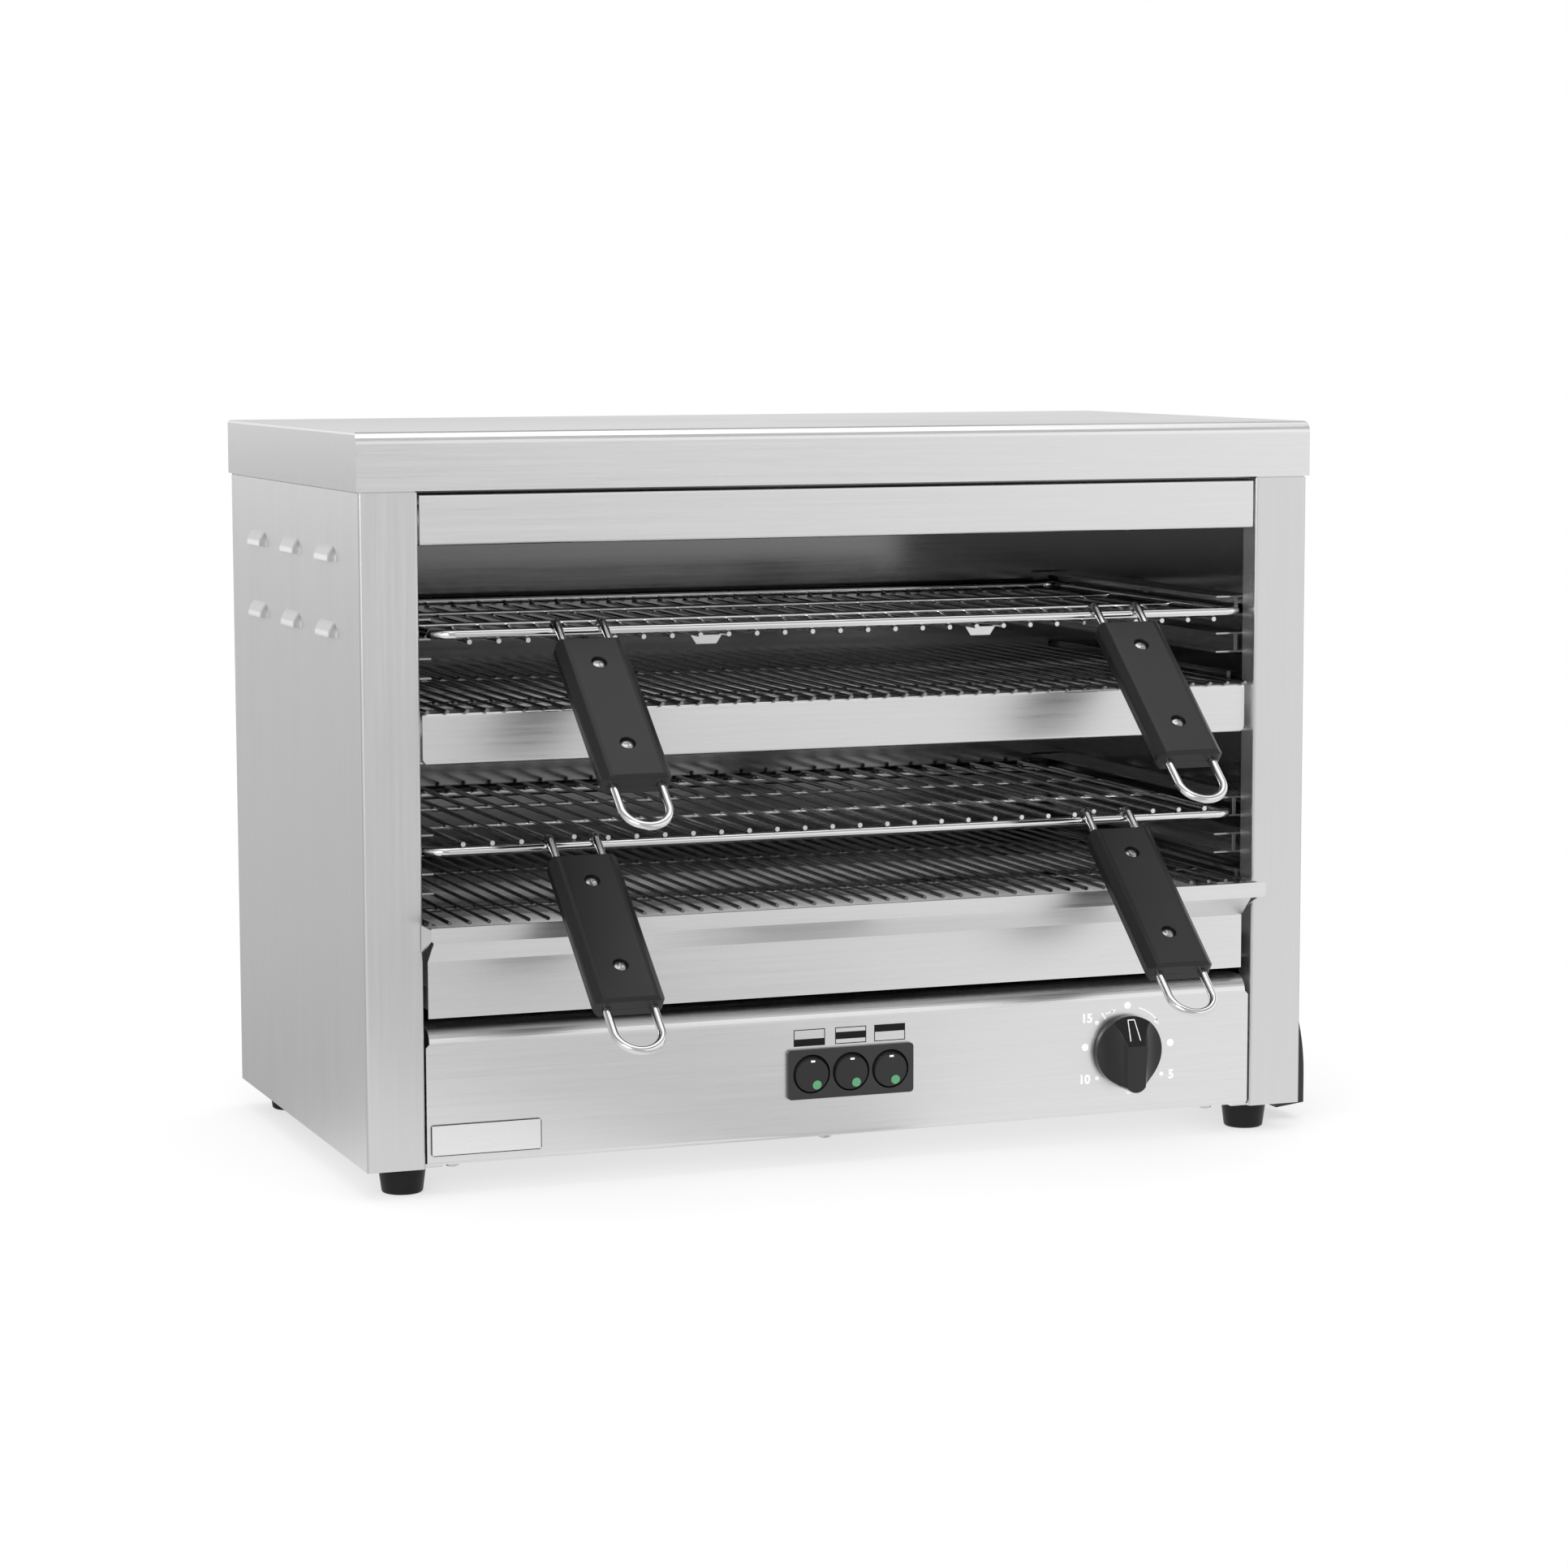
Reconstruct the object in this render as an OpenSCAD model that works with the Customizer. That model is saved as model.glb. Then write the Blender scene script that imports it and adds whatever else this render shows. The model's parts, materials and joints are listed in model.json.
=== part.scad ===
// Two-deck countertop quartz toaster oven with pull-out wire racks.
// Inside the modules X = 0 is the middle of the cabinet, Y = 0 the front of its posts and Z = 0 the bench.
// placed() then puts the middle of the whole oven's footprint on the origin.

/* [Cabinet] */
// Width over the two side panels
body_w = 527; // [515:1:560]
// Depth from the front of the posts to the back of the rear panel
body_d = 282; // [278:1:310]
// Height from the cabinet's underside to the inside of the lid
body_h = 372.5; // [368:0.5:400]
// Thickness of the stainless sheet
sheet = 1; // [0.8:0.1:1.2]
// Outer radius of a folded edge
bend_r = 1.5; // [1.4:0.1:2.2]
// Width of each front post
post_w = 30.5; // [28:0.5:34]
// Depth of the return behind each post
post_return = 14; // [10:1:18]
// Width of the cabinet's hidden flanges
flange_w = 12; // [10:1:16]
// Width of the bottom flange that carries the feet
foot_flange_w = 40; // [37:1:46]
// Space between the oven cavity and the rear panel
back_space = 20; // [14:1:26]
// Height of the lid's skirt
lid_h = 29.5; // [24:0.5:34]
// Outer radius of the lid's front edge
lid_r = 6; // [3:0.5:9]
// How far the lid stands out of the cabinet at the front and the sides
lid_proud = 1.2; // [0.4:0.1:1.5]
// Seam between the lid's skirt and the side panels' outer skin
lid_seam = 0.8; // [0.5:0.1:1.5]
// Lap of the panels' set-in upper edge behind their outer skin
seam_lap = 8; // [5:0.5:14]
// Gap between the lid's skirt and the rear panel
lid_gap = 0.5; // [0.3:0.1:1]

/* [Feet] */
// Height of a foot
foot_h = 15; // [12:1:24]
// Diameter of a foot at its top
foot_d = 25; // [23:0.5:28]
// Diameter of a foot at the bench
foot_base_d = 21.5; // [20:0.5:23]
// Distance of a foot's centre from the side of the cabinet
foot_inset_x = 23.5; // [20:0.5:26]
// Distance of a foot's centre from the front and the back
foot_inset_y = 21; // [18:0.5:30]
// Diameter of a foot's screw
foot_screw_d = 5; // [4:0.5:6]

/* [Louvres] */
// Length of a pressed louvre
louvre_l = 40; // [30:1:50]
// Height of a louvre's mouth above its lower edge
louvre_h = 8; // [6:0.5:10]
// How far a louvre stands out
louvre_out = 3.5; // [2.5:0.5:5]
// Radius that a louvre's ends are pressed with
louvre_end_r = 10; // [7:0.5:20]
// Distance of the first louvre's middle from the front
louvre_y = 66; // [56:1:72]
// Spacing of the louvres from front to back
louvre_pitch = 75.5; // [60:0.5:80]
// Height of the upper row above the cabinet's underside
louvre_z = 307; // [290:1:320]
// Drop from the upper row to the lower row
louvre_drop = 39; // [30:1:60]

/* [Vents] */
// Length of a ventilation slot
vent_l = 40; // [30:1:50]
// Height of a ventilation slot
vent_h = 4; // [3:0.5:6]
// Spacing of the slots along the rear panel
rear_vent_pitch = 62; // [54:1:66]
// Height of the lowest row of rear slots above the cabinet's underside
rear_vent_z = 24; // [16:1:40]
// Spacing of the rows of rear slots
rear_vent_row = 12; // [9:0.5:14]
// Spacing of the slots along the base
base_vent_pitch = 76; // [60:1:90]
// Distance of the first row of base slots from the front
base_vent_y = 110; // [60:1:130]
// Spacing of the rows of base slots
base_vent_row = 24; // [12:1:34]

/* [Control panel] */
// Height of the control panel
panel_h = 70; // [66:1:78]
// How far the control panel and the upper fascia lie behind the posts
front_recess = 1; // [0.6:0.1:2]
// Gap between the control panel's ends and the posts
panel_end_gap = 1; // [1:0.5:4]
// Outer radius of the control panel's top edge
bullnose_r = 9; // [6:0.5:12]
// How much shorter the rounded top edge is at each end
bullnose_step = 1.8; // [1:0.1:3]
// Depth of the control panel's bottom flange
panel_foot = 20; // [14:1:26]
// How far back the front parts' flanges reach
front_return = 26; // [22:1:32]
// Length of the blank name plate
plate_l = 58.5; // [40:0.5:70]
// Height of the blank name plate
plate_h = 16.2; // [10:0.2:20]
// Thickness of the blank name plate
plate_t = 0.8; // [0.5:0.1:1]
// Corner radius of the name plate
plate_r = 1.5; // [0.5:0.1:3]
// Distance of the name plate from the panel's left end
plate_inset = 2; // [1:0.5:8]
// Height of the name plate above the panel's lower edge
plate_z = 4; // [2:0.5:8]

/* [Fascias] */
// Gap between the lid's skirt and the upper fascia
fascia_gap = 1.6; // [1:0.1:3]
// Height of the upper fascia
upper_fascia_h = 26; // [20:0.5:30]
// Height of the middle fascia
mid_fascia_h = 26.3; // [22:0.1:30]
// Underside of the middle fascia above the cabinet's underside
mid_fascia_z = 205.4; // [200:0.2:208]
// How far the middle fascia lies behind the posts
mid_recess = 6; // [4:0.5:8]
// Gap between the upper fascia's ends and the posts
upper_end_gap = 1; // [0.5:0.1:2]
// Gap between the middle fascia's ends and the posts
mid_end_gap = 2.6; // [1.5:0.1:4]
// Corner radius at the bottom of the middle fascia
mid_corner_low = 4; // [2:0.5:6]
// Corner radius at the top of the middle fascia
mid_corner_top = 2; // [1:0.5:4]

/* [Heaters] */
// Outer diameter of a quartz tube
tube_d = 11; // [9:0.5:12]
// Wall of a quartz tube
tube_wall = 1; // [0.8:0.1:1.5]
// Gap between a heating coil and its tube
coil_gap = 0.3; // [0.2:0.1:0.6]
// Wall of the ring-shaped space that a coil's turns fill
coil_wall = 1.2; // [0.8:0.1:1.6]
// Diameter of the ceramic end caps
cap_d = 13.6; // [13:0.2:15]
// Diameter of an end cap's collar outside the cavity wall
cap_collar_d = 18; // [17:0.5:22]
// How far the quartz tubes reach past the cavity walls
tube_past_wall = 4; // [3:0.5:6]
// Distance of the front tubes from the front
front_tube_y = 75; // [60:1:85]
// Distance of the rear tubes from the front
rear_tube_y = 195; // [180:1:210]
// Upper tubes below the cavity's roof
top_tube_drop = 14.4; // [11:0.2:16]
// Middle tubes below the top of the middle fascia
mid_tube_drop = 13.2; // [11:0.2:14]
// Lower tubes below the underside of the lower guard
low_tube_drop = 12; // [10.5:0.5:13]

/* [Racks] */
// Centre of the lower rack's frame above the cabinet's underside
lower_rack_z = 161.2; // [157:0.1:170]
// Centre of the upper rack's frame above the cabinet's underside
upper_rack_z = 271.3; // [266:0.1:278]
// How far the upper rack stands to the right of the middle of its rails
upper_rack_x = 2; // [-3:0.5:3]
// How far the lower rack stands to the right of the middle of its rails
lower_rack_x = -2.5; // [-3:0.5:3]
// Diameter of a rack's frame wire
bar_d = 5; // [4:0.5:6]
// Corner radius of a rack's frame, at the wire's centre
rack_corner_r = 10; // [8:1:16]
// Distance of a rack's front wire behind the posts' front
bar_y = 5; // [3:0.5:8]
// Gap between a rack's rear wire and the back of the cavity
rack_back_gap = 9.5; // [5:0.5:16]
// Gap between a rack and the back of its rails
rack_side_gap = 4; // [2:0.5:5]
// Diameter of a rack's rods
rod_d = 2.5; // [2:0.1:3]
// Spacing of a rack's rods
rod_pitch = 15.42; // [14:0.02:17]
// Distance of the first cross rod from the front
cross_rod_y = 90; // [60:1:110]
// Spacing of the two cross rods
cross_rod_pitch = 80; // [60:1:110]
// How deep welded wires sink into each other
weld = 0.3; // [0.2:0.05:0.5]
// Width of the small stop plates under the upper rack, at their upper edge
stop_w = 17; // [16.6:0.1:18.4]
// Height of the stop plates
stop_h = 4.5; // [3:0.5:6]
// Distance of the stop plates from the front
stop_y = 17; // [14:0.5:24]

/* [Rails and guards] */
// Height of a rail
rail_h = 11; // [9:0.5:14]
// Width of a rail's flanges
rail_w = 12; // [10:0.5:14]
// Start of the rails behind the posts' front
rail_y = 22; // [19:1:30]
// Drop from a cavity's upper rail to its lower rail
rail_drop = 20; // [16:0.5:24]
// Height of a guard's or the tray's ledge
ledge_h = 8; // [6:0.5:8]
// Distance of a ledge behind the front parts' flanges
ledge_start = 4; // [2:0.5:8]
// Gap between the rails and the back of the cavity
rail_back_gap = 7; // [3:0.5:12]
// Running gap under everything that slides
slide_gap = 0.3; // [0.3:0.05:0.6]
// Diameter of a guard's rods
guard_rod_d = 2; // [1.6:0.1:2.4]
// Spacing of a guard's rods
guard_pitch = 10.4; // [9:0.1:13]
// Diameter of a guard's cross wires
guard_cross_d = 2.5; // [2:0.1:3]
// Start of the guards' rods behind the posts' front
guard_y = 2; // [2:0.5:6]
// Underside of the lower guard's rods above the cabinet's underside
lower_guard_z = 124; // [121:0.5:126]
// Distance of a guard's first cross wire from the front
guard_cross_y = 64; // [50:1:66]
// Spacing of a guard's two cross wires
guard_cross_pitch = 136; // [130:1:150]

/* [Crumb tray] */
// Gap between the control panel and the tray's front
tray_gap = 5; // [3:0.5:8]
// Height of the tray's upright front plate
tray_front_h = 29; // [24:0.5:31]
// Gap between the tray's front plate and the posts
tray_end_gap = 4; // [2:0.5:6]
// How far the tray's lip stands in front of its front plate
lip_reach = 21.5; // [16:0.5:24]
// Rise of the slope from the front plate to the lip
lip_rise = 20.4; // [14:0.2:22]
// Height of the lip
lip_h = 8; // [5:0.5:10]
// How far the lip is wider than the plate at each end
lip_extra = 3.8; // [2:0.1:3.9]
// Radius of the lip's corners
lip_corner_r = 2.5; // [1:0.5:3]
// Height of a lip end's cheek where it meets the post
cheek_h = 14; // [8:0.5:17]
// Gap between the cheeks and the posts
cheek_gap = 0.5; // [0.4:0.1:1]
// How far the tray stands to the right of the middle
tray_x = -1.5; // [-2:0.5:2]
// Height of the pan's runners above the tray front's lower edge
tray_runner_z = 4; // [3:0.5:6]
// Height of the pan's walls
tray_wall_h = 12; // [8:0.5:13]
// Gap between the pan and the back of the cavity
tray_back_gap = 7; // [5:0.5:14]

/* [Handles] */
// Distance of a handle's centre line from the middle of the rack
handle_x = 150; // [120:1:165]
// Slope of the handles below the horizontal
handle_slope = 39; // [34:0.5:42]
// Diameter of the handle wire
wire_d = 4.2; // [3.6:0.1:4.6]
// Distance of a handle wire's legs from the handle's centre line
leg_x = 12.25; // [11.5:0.25:13.5]
// Distance from the rack to the grip, along the wire
grip_start = 15.7; // [14:0.1:20]
// Length of a grip
grip_l = 100; // [90:1:102]
// Width of a grip
grip_w = 37.2; // [36:0.2:40]
// Thickness of a grip, both shells together
grip_t = 13; // [11:0.5:15]
// Width of a grip's flat face
grip_flat_w = 25.4; // [22:0.2:28]
// Height of a shell's upright edge at the parting line
grip_edge_h = 2; // [1:0.5:3]
// Corner radius of a grip in outline
grip_corner_r = 4; // [2:0.5:6]
// Gap around the wire in the grip's channel
channel_gap = 0.1; // [0.05:0.05:0.2]
// How far the wire loop stands out of the grip
loop_out = 29.9; // [26:0.1:31]
// Distance from the grip's upper end to its first screw
grip_screw_s = 18.9; // [14:0.1:24]
// Spacing of a grip's two screws
grip_screw_pitch = 57.8; // [50:0.2:66]
// Diameter of a grip screw's shank
grip_screw_d = 3; // [2.5:0.1:3.5]
// Diameter of a grip screw's head
grip_head_d = 6.4; // [6:0.1:7]
// Diameter of the sunk seat of a screw head
grip_seat_d = 8; // [7.6:0.1:8.6]
// Depth of the sunk seat of a screw head
grip_seat_h = 2.2; // [1.8:0.1:2.6]
// Height of a grip screw's head
grip_head_h = 1.6; // [1.2:0.1:1.8]

/* [Switches] */
// Middle of the switch frame, to the right of the cabinet's middle
switch_x = -1.5; // [-20:0.5:20]
// Middle of the switch frame above the panel's lower edge
switch_z = 33.1; // [28:0.1:38]
// Width of the switch frame
bezel_w = 70.8; // [70:0.2:76]
// Height of the switch frame
bezel_h = 26.4; // [25.6:0.2:30]
// How far the frame stands out of the panel
bezel_out = 2; // [1.5:0.1:3]
// Lap of the frame over its cut-out
bezel_lap = 1.4; // [1:0.1:1.8]
// Corner radius of the frame
bezel_r = 2; // [1:0.5:4]
// Depth of the switch housing behind the panel
switch_depth = 25; // [20:1:30]
// Spacing of the rockers
rocker_pitch = 22.2; // [22:0.1:22.6]
// Diameter of a rocker
rocker_d = 20; // [19:0.1:20.2]
// Gap around a rocker
rocker_gap = 0.3; // [0.3:0.05:0.4]
// Front-to-back distance from the frame's face to the rockers' pivots
pivot_depth = 3.5; // [3:0.1:4]
// Distance from a rocker's pivot to its flat face
rocker_face = 4.5; // [4:0.1:5]
// Distance from a rocker's pivot to its flat back
rocker_back = 4; // [3:0.5:5]
// Tilt of a rocker when it is off
rocker_tilt = 7; // [4:0.5:8]
// Diameter of a rocker's pivot stubs
stub_d = 1.8; // [1.4:0.1:2.2]
// Length of a pivot stub beyond the rocker
stub_l = 0.8; // [0.6:0.1:0.85]
// Running gap around a pivot stub
stub_gap = 0.05; // [0.02:0.01:0.08]
// Diameter of the green lens
lens_d = 4.9; // [4:0.1:5.5]
// Distance of the lens to the right of a rocker's middle
lens_x = 2.9; // [0:0.1:4]
// Distance of the lens below a rocker's middle
lens_z = 5.4; // [3:0.1:5.6]

/* [Timer] */
// Middle of the dial, to the right of the cabinet's middle
timer_x = 159; // [120:1:190]
// Middle of the dial above the panel's lower edge
timer_z = 33.7; // [30:0.1:38]
// Diameter of the knob's disc
knob_d = 38.5; // [34:0.5:42]
// Thickness of the knob's disc
knob_disc_h = 3.6; // [3.2:0.1:5]
// Height of the knob
knob_h = 13; // [11:0.5:16]
// Gap between the knob and the panel
knob_gap = 0.6; // [0.4:0.1:1]
// Half width of the knob's bar at its face
knob_bar_half = 5.4; // [4:0.1:6]
// Radius of the scoops beside the bar
scoop_r = 14; // [12:0.5:18]
// How far the bar passes the disc at its tail
knob_tail = 2; // [1:0.5:4]
// Share of the knob's diameter that the pointer slopes over
pointer_share = 0.4; // [0.25:0.05:0.5]
// Diameter of the timer's shaft
shaft_d = 6; // [5:0.5:6]
// Running gap around the shaft
shaft_gap = 0.05; // [0.02:0.01:0.08]
// Diameter of the timer's threaded bush
bush_d = 10; // [9:0.5:11]
// Width across the flats of the bush's nut
nut_af = 14; // [13:0.5:16]
// Thickness of the bush's nut
nut_h = 2; // [1.5:0.1:2.4]
// Side of the timer's square housing
timer_side = 44; // [38:1:50]
// Depth of the timer's housing
timer_depth = 22; // [18:1:30]

/* [Cable entry] */
// Width of the cable hood, front to back
hood_l = 65; // [50:1:80]
// Start of the hood behind the posts' front
hood_y = 27; // [26:1:60]
// How far the hood stands out
hood_out = 17; // [16:0.5:24]
// Top of the hood above the cabinet's underside
hood_top = 75; // [65:1:90]
// Height above the cabinet's underside where the hood is widest
hood_wide_z = 10; // [4:1:20]
// Lowest edge of the hood below the cabinet's underside
hood_below = 8; // [4:0.5:10]
// Wall of the hood
hood_wall = 2; // [1.6:0.1:2.5]
// Outer diameter of the cable gland
gland_d = 16; // [14:0.5:18]
// Bore of the cable gland
gland_bore = 8; // [6:0.5:9]
// Height of the gland above the cabinet's underside
gland_z = 22; // [16:1:30]

/* [Fasteners] */
// Diameter of the panel screws
screw_d = 4; // [3.5:0.1:4.2]
// Diameter of a panel screw's head
screw_head_d = 6.6; // [6.2:0.1:8]
// Height of a panel screw's head
screw_head_h = 2.3; // [1.6:0.1:3]
// Length of a panel screw
screw_l = 8; // [6:0.5:12]
// Gap around a screw in its hole
hole_gap = 0.15; // [0.1:0.05:0.3]

// Distance of the outer lid screws from the middle
lid_screw_x = 200; // [150:1:220]
// Height of the lid screws above the lid's lower edge
lid_screw_up = 8; // [6:0.5:16]
// Height of the lowest rear screws above the cabinet's underside
rear_screw_low = 25; // [15:1:40]
// Distance of the highest rear screws below the lid
rear_screw_high = 35; // [30:1:50]
// Places of the screws that hold the control panel's bottom flange, from left to right
panel_screw_xs = [-217, -13, 210];
// Distance of those screws from the front
panel_screw_y = 8; // [7:0.5:14]
// Diameter of a foot screw's head
foot_head_d = 9.5; // [8:0.5:10.5]
// Height of a foot screw's head
foot_head_h = 3; // [2:0.5:4]
// Width over the corners of a foot screw's nut
foot_nut_d = 9.2; // [8.6:0.1:10]
// Thickness of a foot screw's nut
foot_nut_h = 4; // [3:0.5:5]
// Diameter of the seat under a foot
foot_seat_d = 11; // [10.8:0.1:14]
// Width across the flats of a grip screw's nut
nut_flats = 5.5; // [5:0.1:5.8]

/* [Hidden] */
$fn = 48;

steel = [0.78, 0.78, 0.79];
dark_steel = [0.45, 0.45, 0.46];
bright_wire = [0.85, 0.85, 0.86];
black = [0.07, 0.07, 0.075];
ceramic_white = [0.9, 0.88, 0.83];

half_w = body_w / 2;
wall_x = half_w - post_w;
rear_y = body_d - sheet;
cavity_back = body_d - back_space;
side_top = foot_h + body_h;
lid_over = lid_gap + sheet;
lid_top = side_top + sheet;
lid_z = lid_top - lid_h;
skin_top = lid_z - lid_seam;
sill_y = front_recess + 2 * sheet;
base_z = foot_h + sheet;
panel_z = base_z + sheet;
panel_top = panel_z + panel_h;
panel_half = wall_x - panel_end_gap;
deck_top = panel_top - sheet;
cavity_top = lid_z - fascia_gap;
mid_z = foot_h + mid_fascia_z;
mid_top = mid_z + mid_fascia_h;

tube_ys = [front_tube_y, rear_tube_y];
tube_zs = [
    cavity_top - top_tube_drop,
    mid_top - mid_tube_drop,
    foot_h + lower_guard_z - low_tube_drop
];
tube_half = wall_x + sheet + tube_past_wall;
cap_end = tube_half + 8;
cap_lip = 2;

upper_bar_z = foot_h + upper_rack_z;
lower_bar_z = foot_h + lower_rack_z;
rack_half = wall_x - sheet - rack_side_gap - bar_d / 2;
rack_depth = cavity_back - rack_back_gap - bar_d / 2 - bar_y;
rod_offset = (bar_d + rod_d) / 2;
rods_each_side = floor((rack_half - (bar_d + rod_d) / 2) / rod_pitch - 0.5) + 1;
rod_xs = [for (k = [-rods_each_side : rods_each_side - 1]) (k + 0.5) * rod_pitch];
guard_drop = guard_cross_d - weld;
guard_inside = wall_x - sheet - guard_rod_d;
guards_each_side = floor(guard_inside / guard_pitch);
rail_tops = [for (z = [upper_bar_z, lower_bar_z]) z - bar_d / 2 - slide_gap];
rail_end = cavity_back - rail_back_gap;

tray_z = panel_top + tray_gap;
tray_half = wall_x - tray_end_gap;
tray_floor_z = tray_z + tray_runner_z + slide_gap;
tray_front_y = front_recess + sheet;
tray_back_y = cavity_back - tray_back_gap;

arch_r = (bar_d + wire_d) / 2;
grip_end = grip_start + grip_l;
loop_s = grip_end + loop_out - leg_x - wire_d / 2;

// Wiring: the run beside the tubes, the drop to the space below the deck, and the trunk across it.
loom_d = 3;
drop_d = 5;
trunk_d = 6;
loom_x = cap_end + 4 + loom_d / 2;
loom_y = (front_tube_y + rear_tube_y) / 2;
loom_z = panel_z + 12;
terminal_x = [wall_x - 40, wall_x - 10];
terminal_y = [hood_y + 18, hood_y + hood_l - 12];
terminal_h = 18;

bezel_z = panel_z + switch_z;
switch_back_y = front_recess + switch_depth;
blade_l = 8;
pivot_y = front_recess - bezel_out + pivot_depth;
rocker_r = rocker_d / 2;
rocker_xs = [for (k = [-1 : 1]) switch_x + k * rocker_pitch];
dial_z = panel_z + timer_z;
knob_back = front_recess - knob_gap;
knob_face = knob_back - knob_h;

rear_screw_x = half_w - flange_w / 2;
rear_screw_span = body_h - rear_screw_low - rear_screw_high;
rear_screw_zs = [for (k = [0 : 3]) foot_h + rear_screw_low + k * rear_screw_span / 3];

// The oven's footprint runs from the handles' loops to the lid screws, and from the left louvres to the hood.
handle_front = bar_y - (loop_s + leg_x) * cos(handle_slope) - arch_r * sin(handle_slope) - wire_d / 2;
oven_back = body_d + lid_over + screw_head_h;
mid_x = (max(louvre_out, lid_proud) - hood_out) / 2;
front_y = -(handle_front + oven_back) / 2;

function arc(c, r, from, to, n = 6) =
    [for (i = [0 : n]) let (a = from + (to - from) * i / n) c + r * [cos(a), sin(a)]];

module placed(x = 0) {
    translate([mid_x + x, front_y, 0]) children();
}

// Draws an outline given in (y, z) and extrudes it along x, centred.
module along_x(length) {
    rotate([90, 0, 90]) linear_extrude(length, center = true) children();
}

// Draws an outline given in (x, z) and extrudes it from y0 to y1.
module along_y(y0, y1) {
    translate([0, y1, 0]) rotate([90, 0, 0]) linear_extrude(y1 - y0) children();
}

module both_sides() {
    children();
    mirror([1, 0, 0]) children();
}

// A box from its lowest to its highest corner.
module block(low, high) {
    translate(low) cube(high - low);
}

// A round rod between two points.
module rod(from, to, d) {
    run = to - from;
    length = norm(run);
    translate(from) rotate([0, acos(run.z / length), atan2(run.y, run.x)]) cylinder(d = d, h = length);
}

// A pan-head screw along -z with its head's underside at the origin.
module pan_screw(d, length, head_d, head_h) {
    translate([0, 0, -length]) cylinder(d = d, h = length);
    intersection() {
        cylinder(d = head_d, h = head_h);
        translate([0, 0, head_h - head_d]) sphere(head_d, $fn = 64);
    }
}

// A folded channel, open to the rear, whose front face lies at y0.
module channel(y0, z0, height, half, return_y) {
    along_x(2 * half) difference() {
        polygon(concat(
            [[return_y, z0]],
            arc([y0 + bend_r, z0 + bend_r], bend_r, -90, -180),
            arc([y0 + bend_r, z0 + height - bend_r], bend_r, 180, 90),
            [[return_y, z0 + height]]
        ));
        polygon(concat(
            [[return_y + 1, z0 + sheet]],
            arc([y0 + bend_r, z0 + bend_r], bend_r - sheet, -90, -180),
            arc([y0 + bend_r, z0 + height - bend_r], bend_r - sheet, 180, 90),
            [[return_y + 1, z0 + height - sheet]]
        ));
    }
}

// A channel with ears behind the posts that seat on the cavity walls.
module fascia(y0, z0, height, end_gap, r_low, r_top) {
    half = wall_x - end_gap;
    intersection() {
        channel(y0, z0, height, half, front_return);
        along_y(0, front_return) polygon(concat(
            arc([half - r_low, z0 + r_low], r_low, -90, 0),
            arc([half - r_top, z0 + height - r_top], r_top, 0, 90),
            arc([r_top - half, z0 + height - r_top], r_top, 90, 180),
            arc([r_low - half, z0 + r_low], r_low, 180, 270)
        ));
    }
    ear_y = post_return + 1;
    intersection() {
        channel(y0, z0, height, wall_x, front_return);
        block([-wall_x, ear_y, z0], [wall_x, front_return, z0 + height]);
    }
    both_sides() block([wall_x - sheet, ear_y, z0], [wall_x, front_return, z0 + height]);
}

// ---- Casing ----

module lid_outline(inset, drop) {
    along_x(body_w + 2 * lid_proud - 2 * inset) polygon(concat(
        [[-lid_proud + inset, lid_z - drop]],
        arc([-lid_proud + lid_r, lid_top - lid_r], lid_r - inset, 180, 90),
        arc([body_d + lid_over - bend_r, lid_top - bend_r], bend_r - inset, 90, 0),
        [[body_d + lid_over - inset, lid_z - drop]]
    ));
}

module lid_cross(inset, drop) {
    half = half_w + lid_proud;
    along_y(-lid_proud - 1, body_d + lid_over + 1) polygon(concat(
        [[inset - half, lid_z - drop]],
        arc([bend_r - half, lid_top - bend_r], bend_r - inset, 180, 90),
        arc([half - bend_r, lid_top - bend_r], bend_r - inset, 90, 0),
        [[half - inset, lid_z - drop]]
    ));
}

module lid_screws_at() {
    for (k = [-1 : 1])
        translate([k * lid_screw_x, body_d + lid_over, lid_z + lid_screw_up]) rotate([-90, 0, 0]) children();
}

module lid() {
    color(steel) placed() difference() {
        intersection() {
            lid_outline(0, 0);
            lid_cross(0, 0);
        }
        intersection() {
            lid_outline(sheet, 1);
            lid_cross(sheet, 1);
        }
        lid_screws_at() screw_hole();
    }
}

module screw_hole() {
    translate([0, 0, -screw_l - 1]) cylinder(d = screw_d + 2 * hole_gap, h = screw_l + 2);
}

// The barrel that a louvre is pressed over, with its axis along y behind the panel's outer face.
module louvre_barrel(inset) {
    axis_in = (louvre_h * louvre_h - louvre_out * louvre_out) / (2 * louvre_out);
    belly = axis_in + louvre_out;
    half = louvre_l / 2;
    run_in = sqrt(pow(louvre_end_r, 2) - pow(louvre_end_r - louvre_out, 2));
    straight = half - run_in;
    r = louvre_end_r - inset;
    turn = asin(min(1, run_in / r));
    translate([half_w - axis_in, 0, 0]) rotate([90, 0, 0]) rotate_extrude() polygon(concat(
        [[0, -half]],
        arc([belly - louvre_end_r, -straight], r, -turn, 0),
        arc([belly - louvre_end_r, straight], r, 0, turn),
        [[0, half]]
    ));
}

module louvres_at() {
    for (i = [0 : 2], j = [0 : 1])
        translate([0, louvre_y + i * louvre_pitch, foot_h + louvre_z - j * louvre_drop]) children();
}

module foot_screws_at() {
    for (y = [foot_inset_y, body_d - foot_inset_y]) translate([half_w - foot_inset_x, y, 0]) children();
}

module rear_screws_at() {
    for (z = rear_screw_zs) translate([rear_screw_x, body_d, z]) rotate([-90, 0, 0]) children();
}

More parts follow.
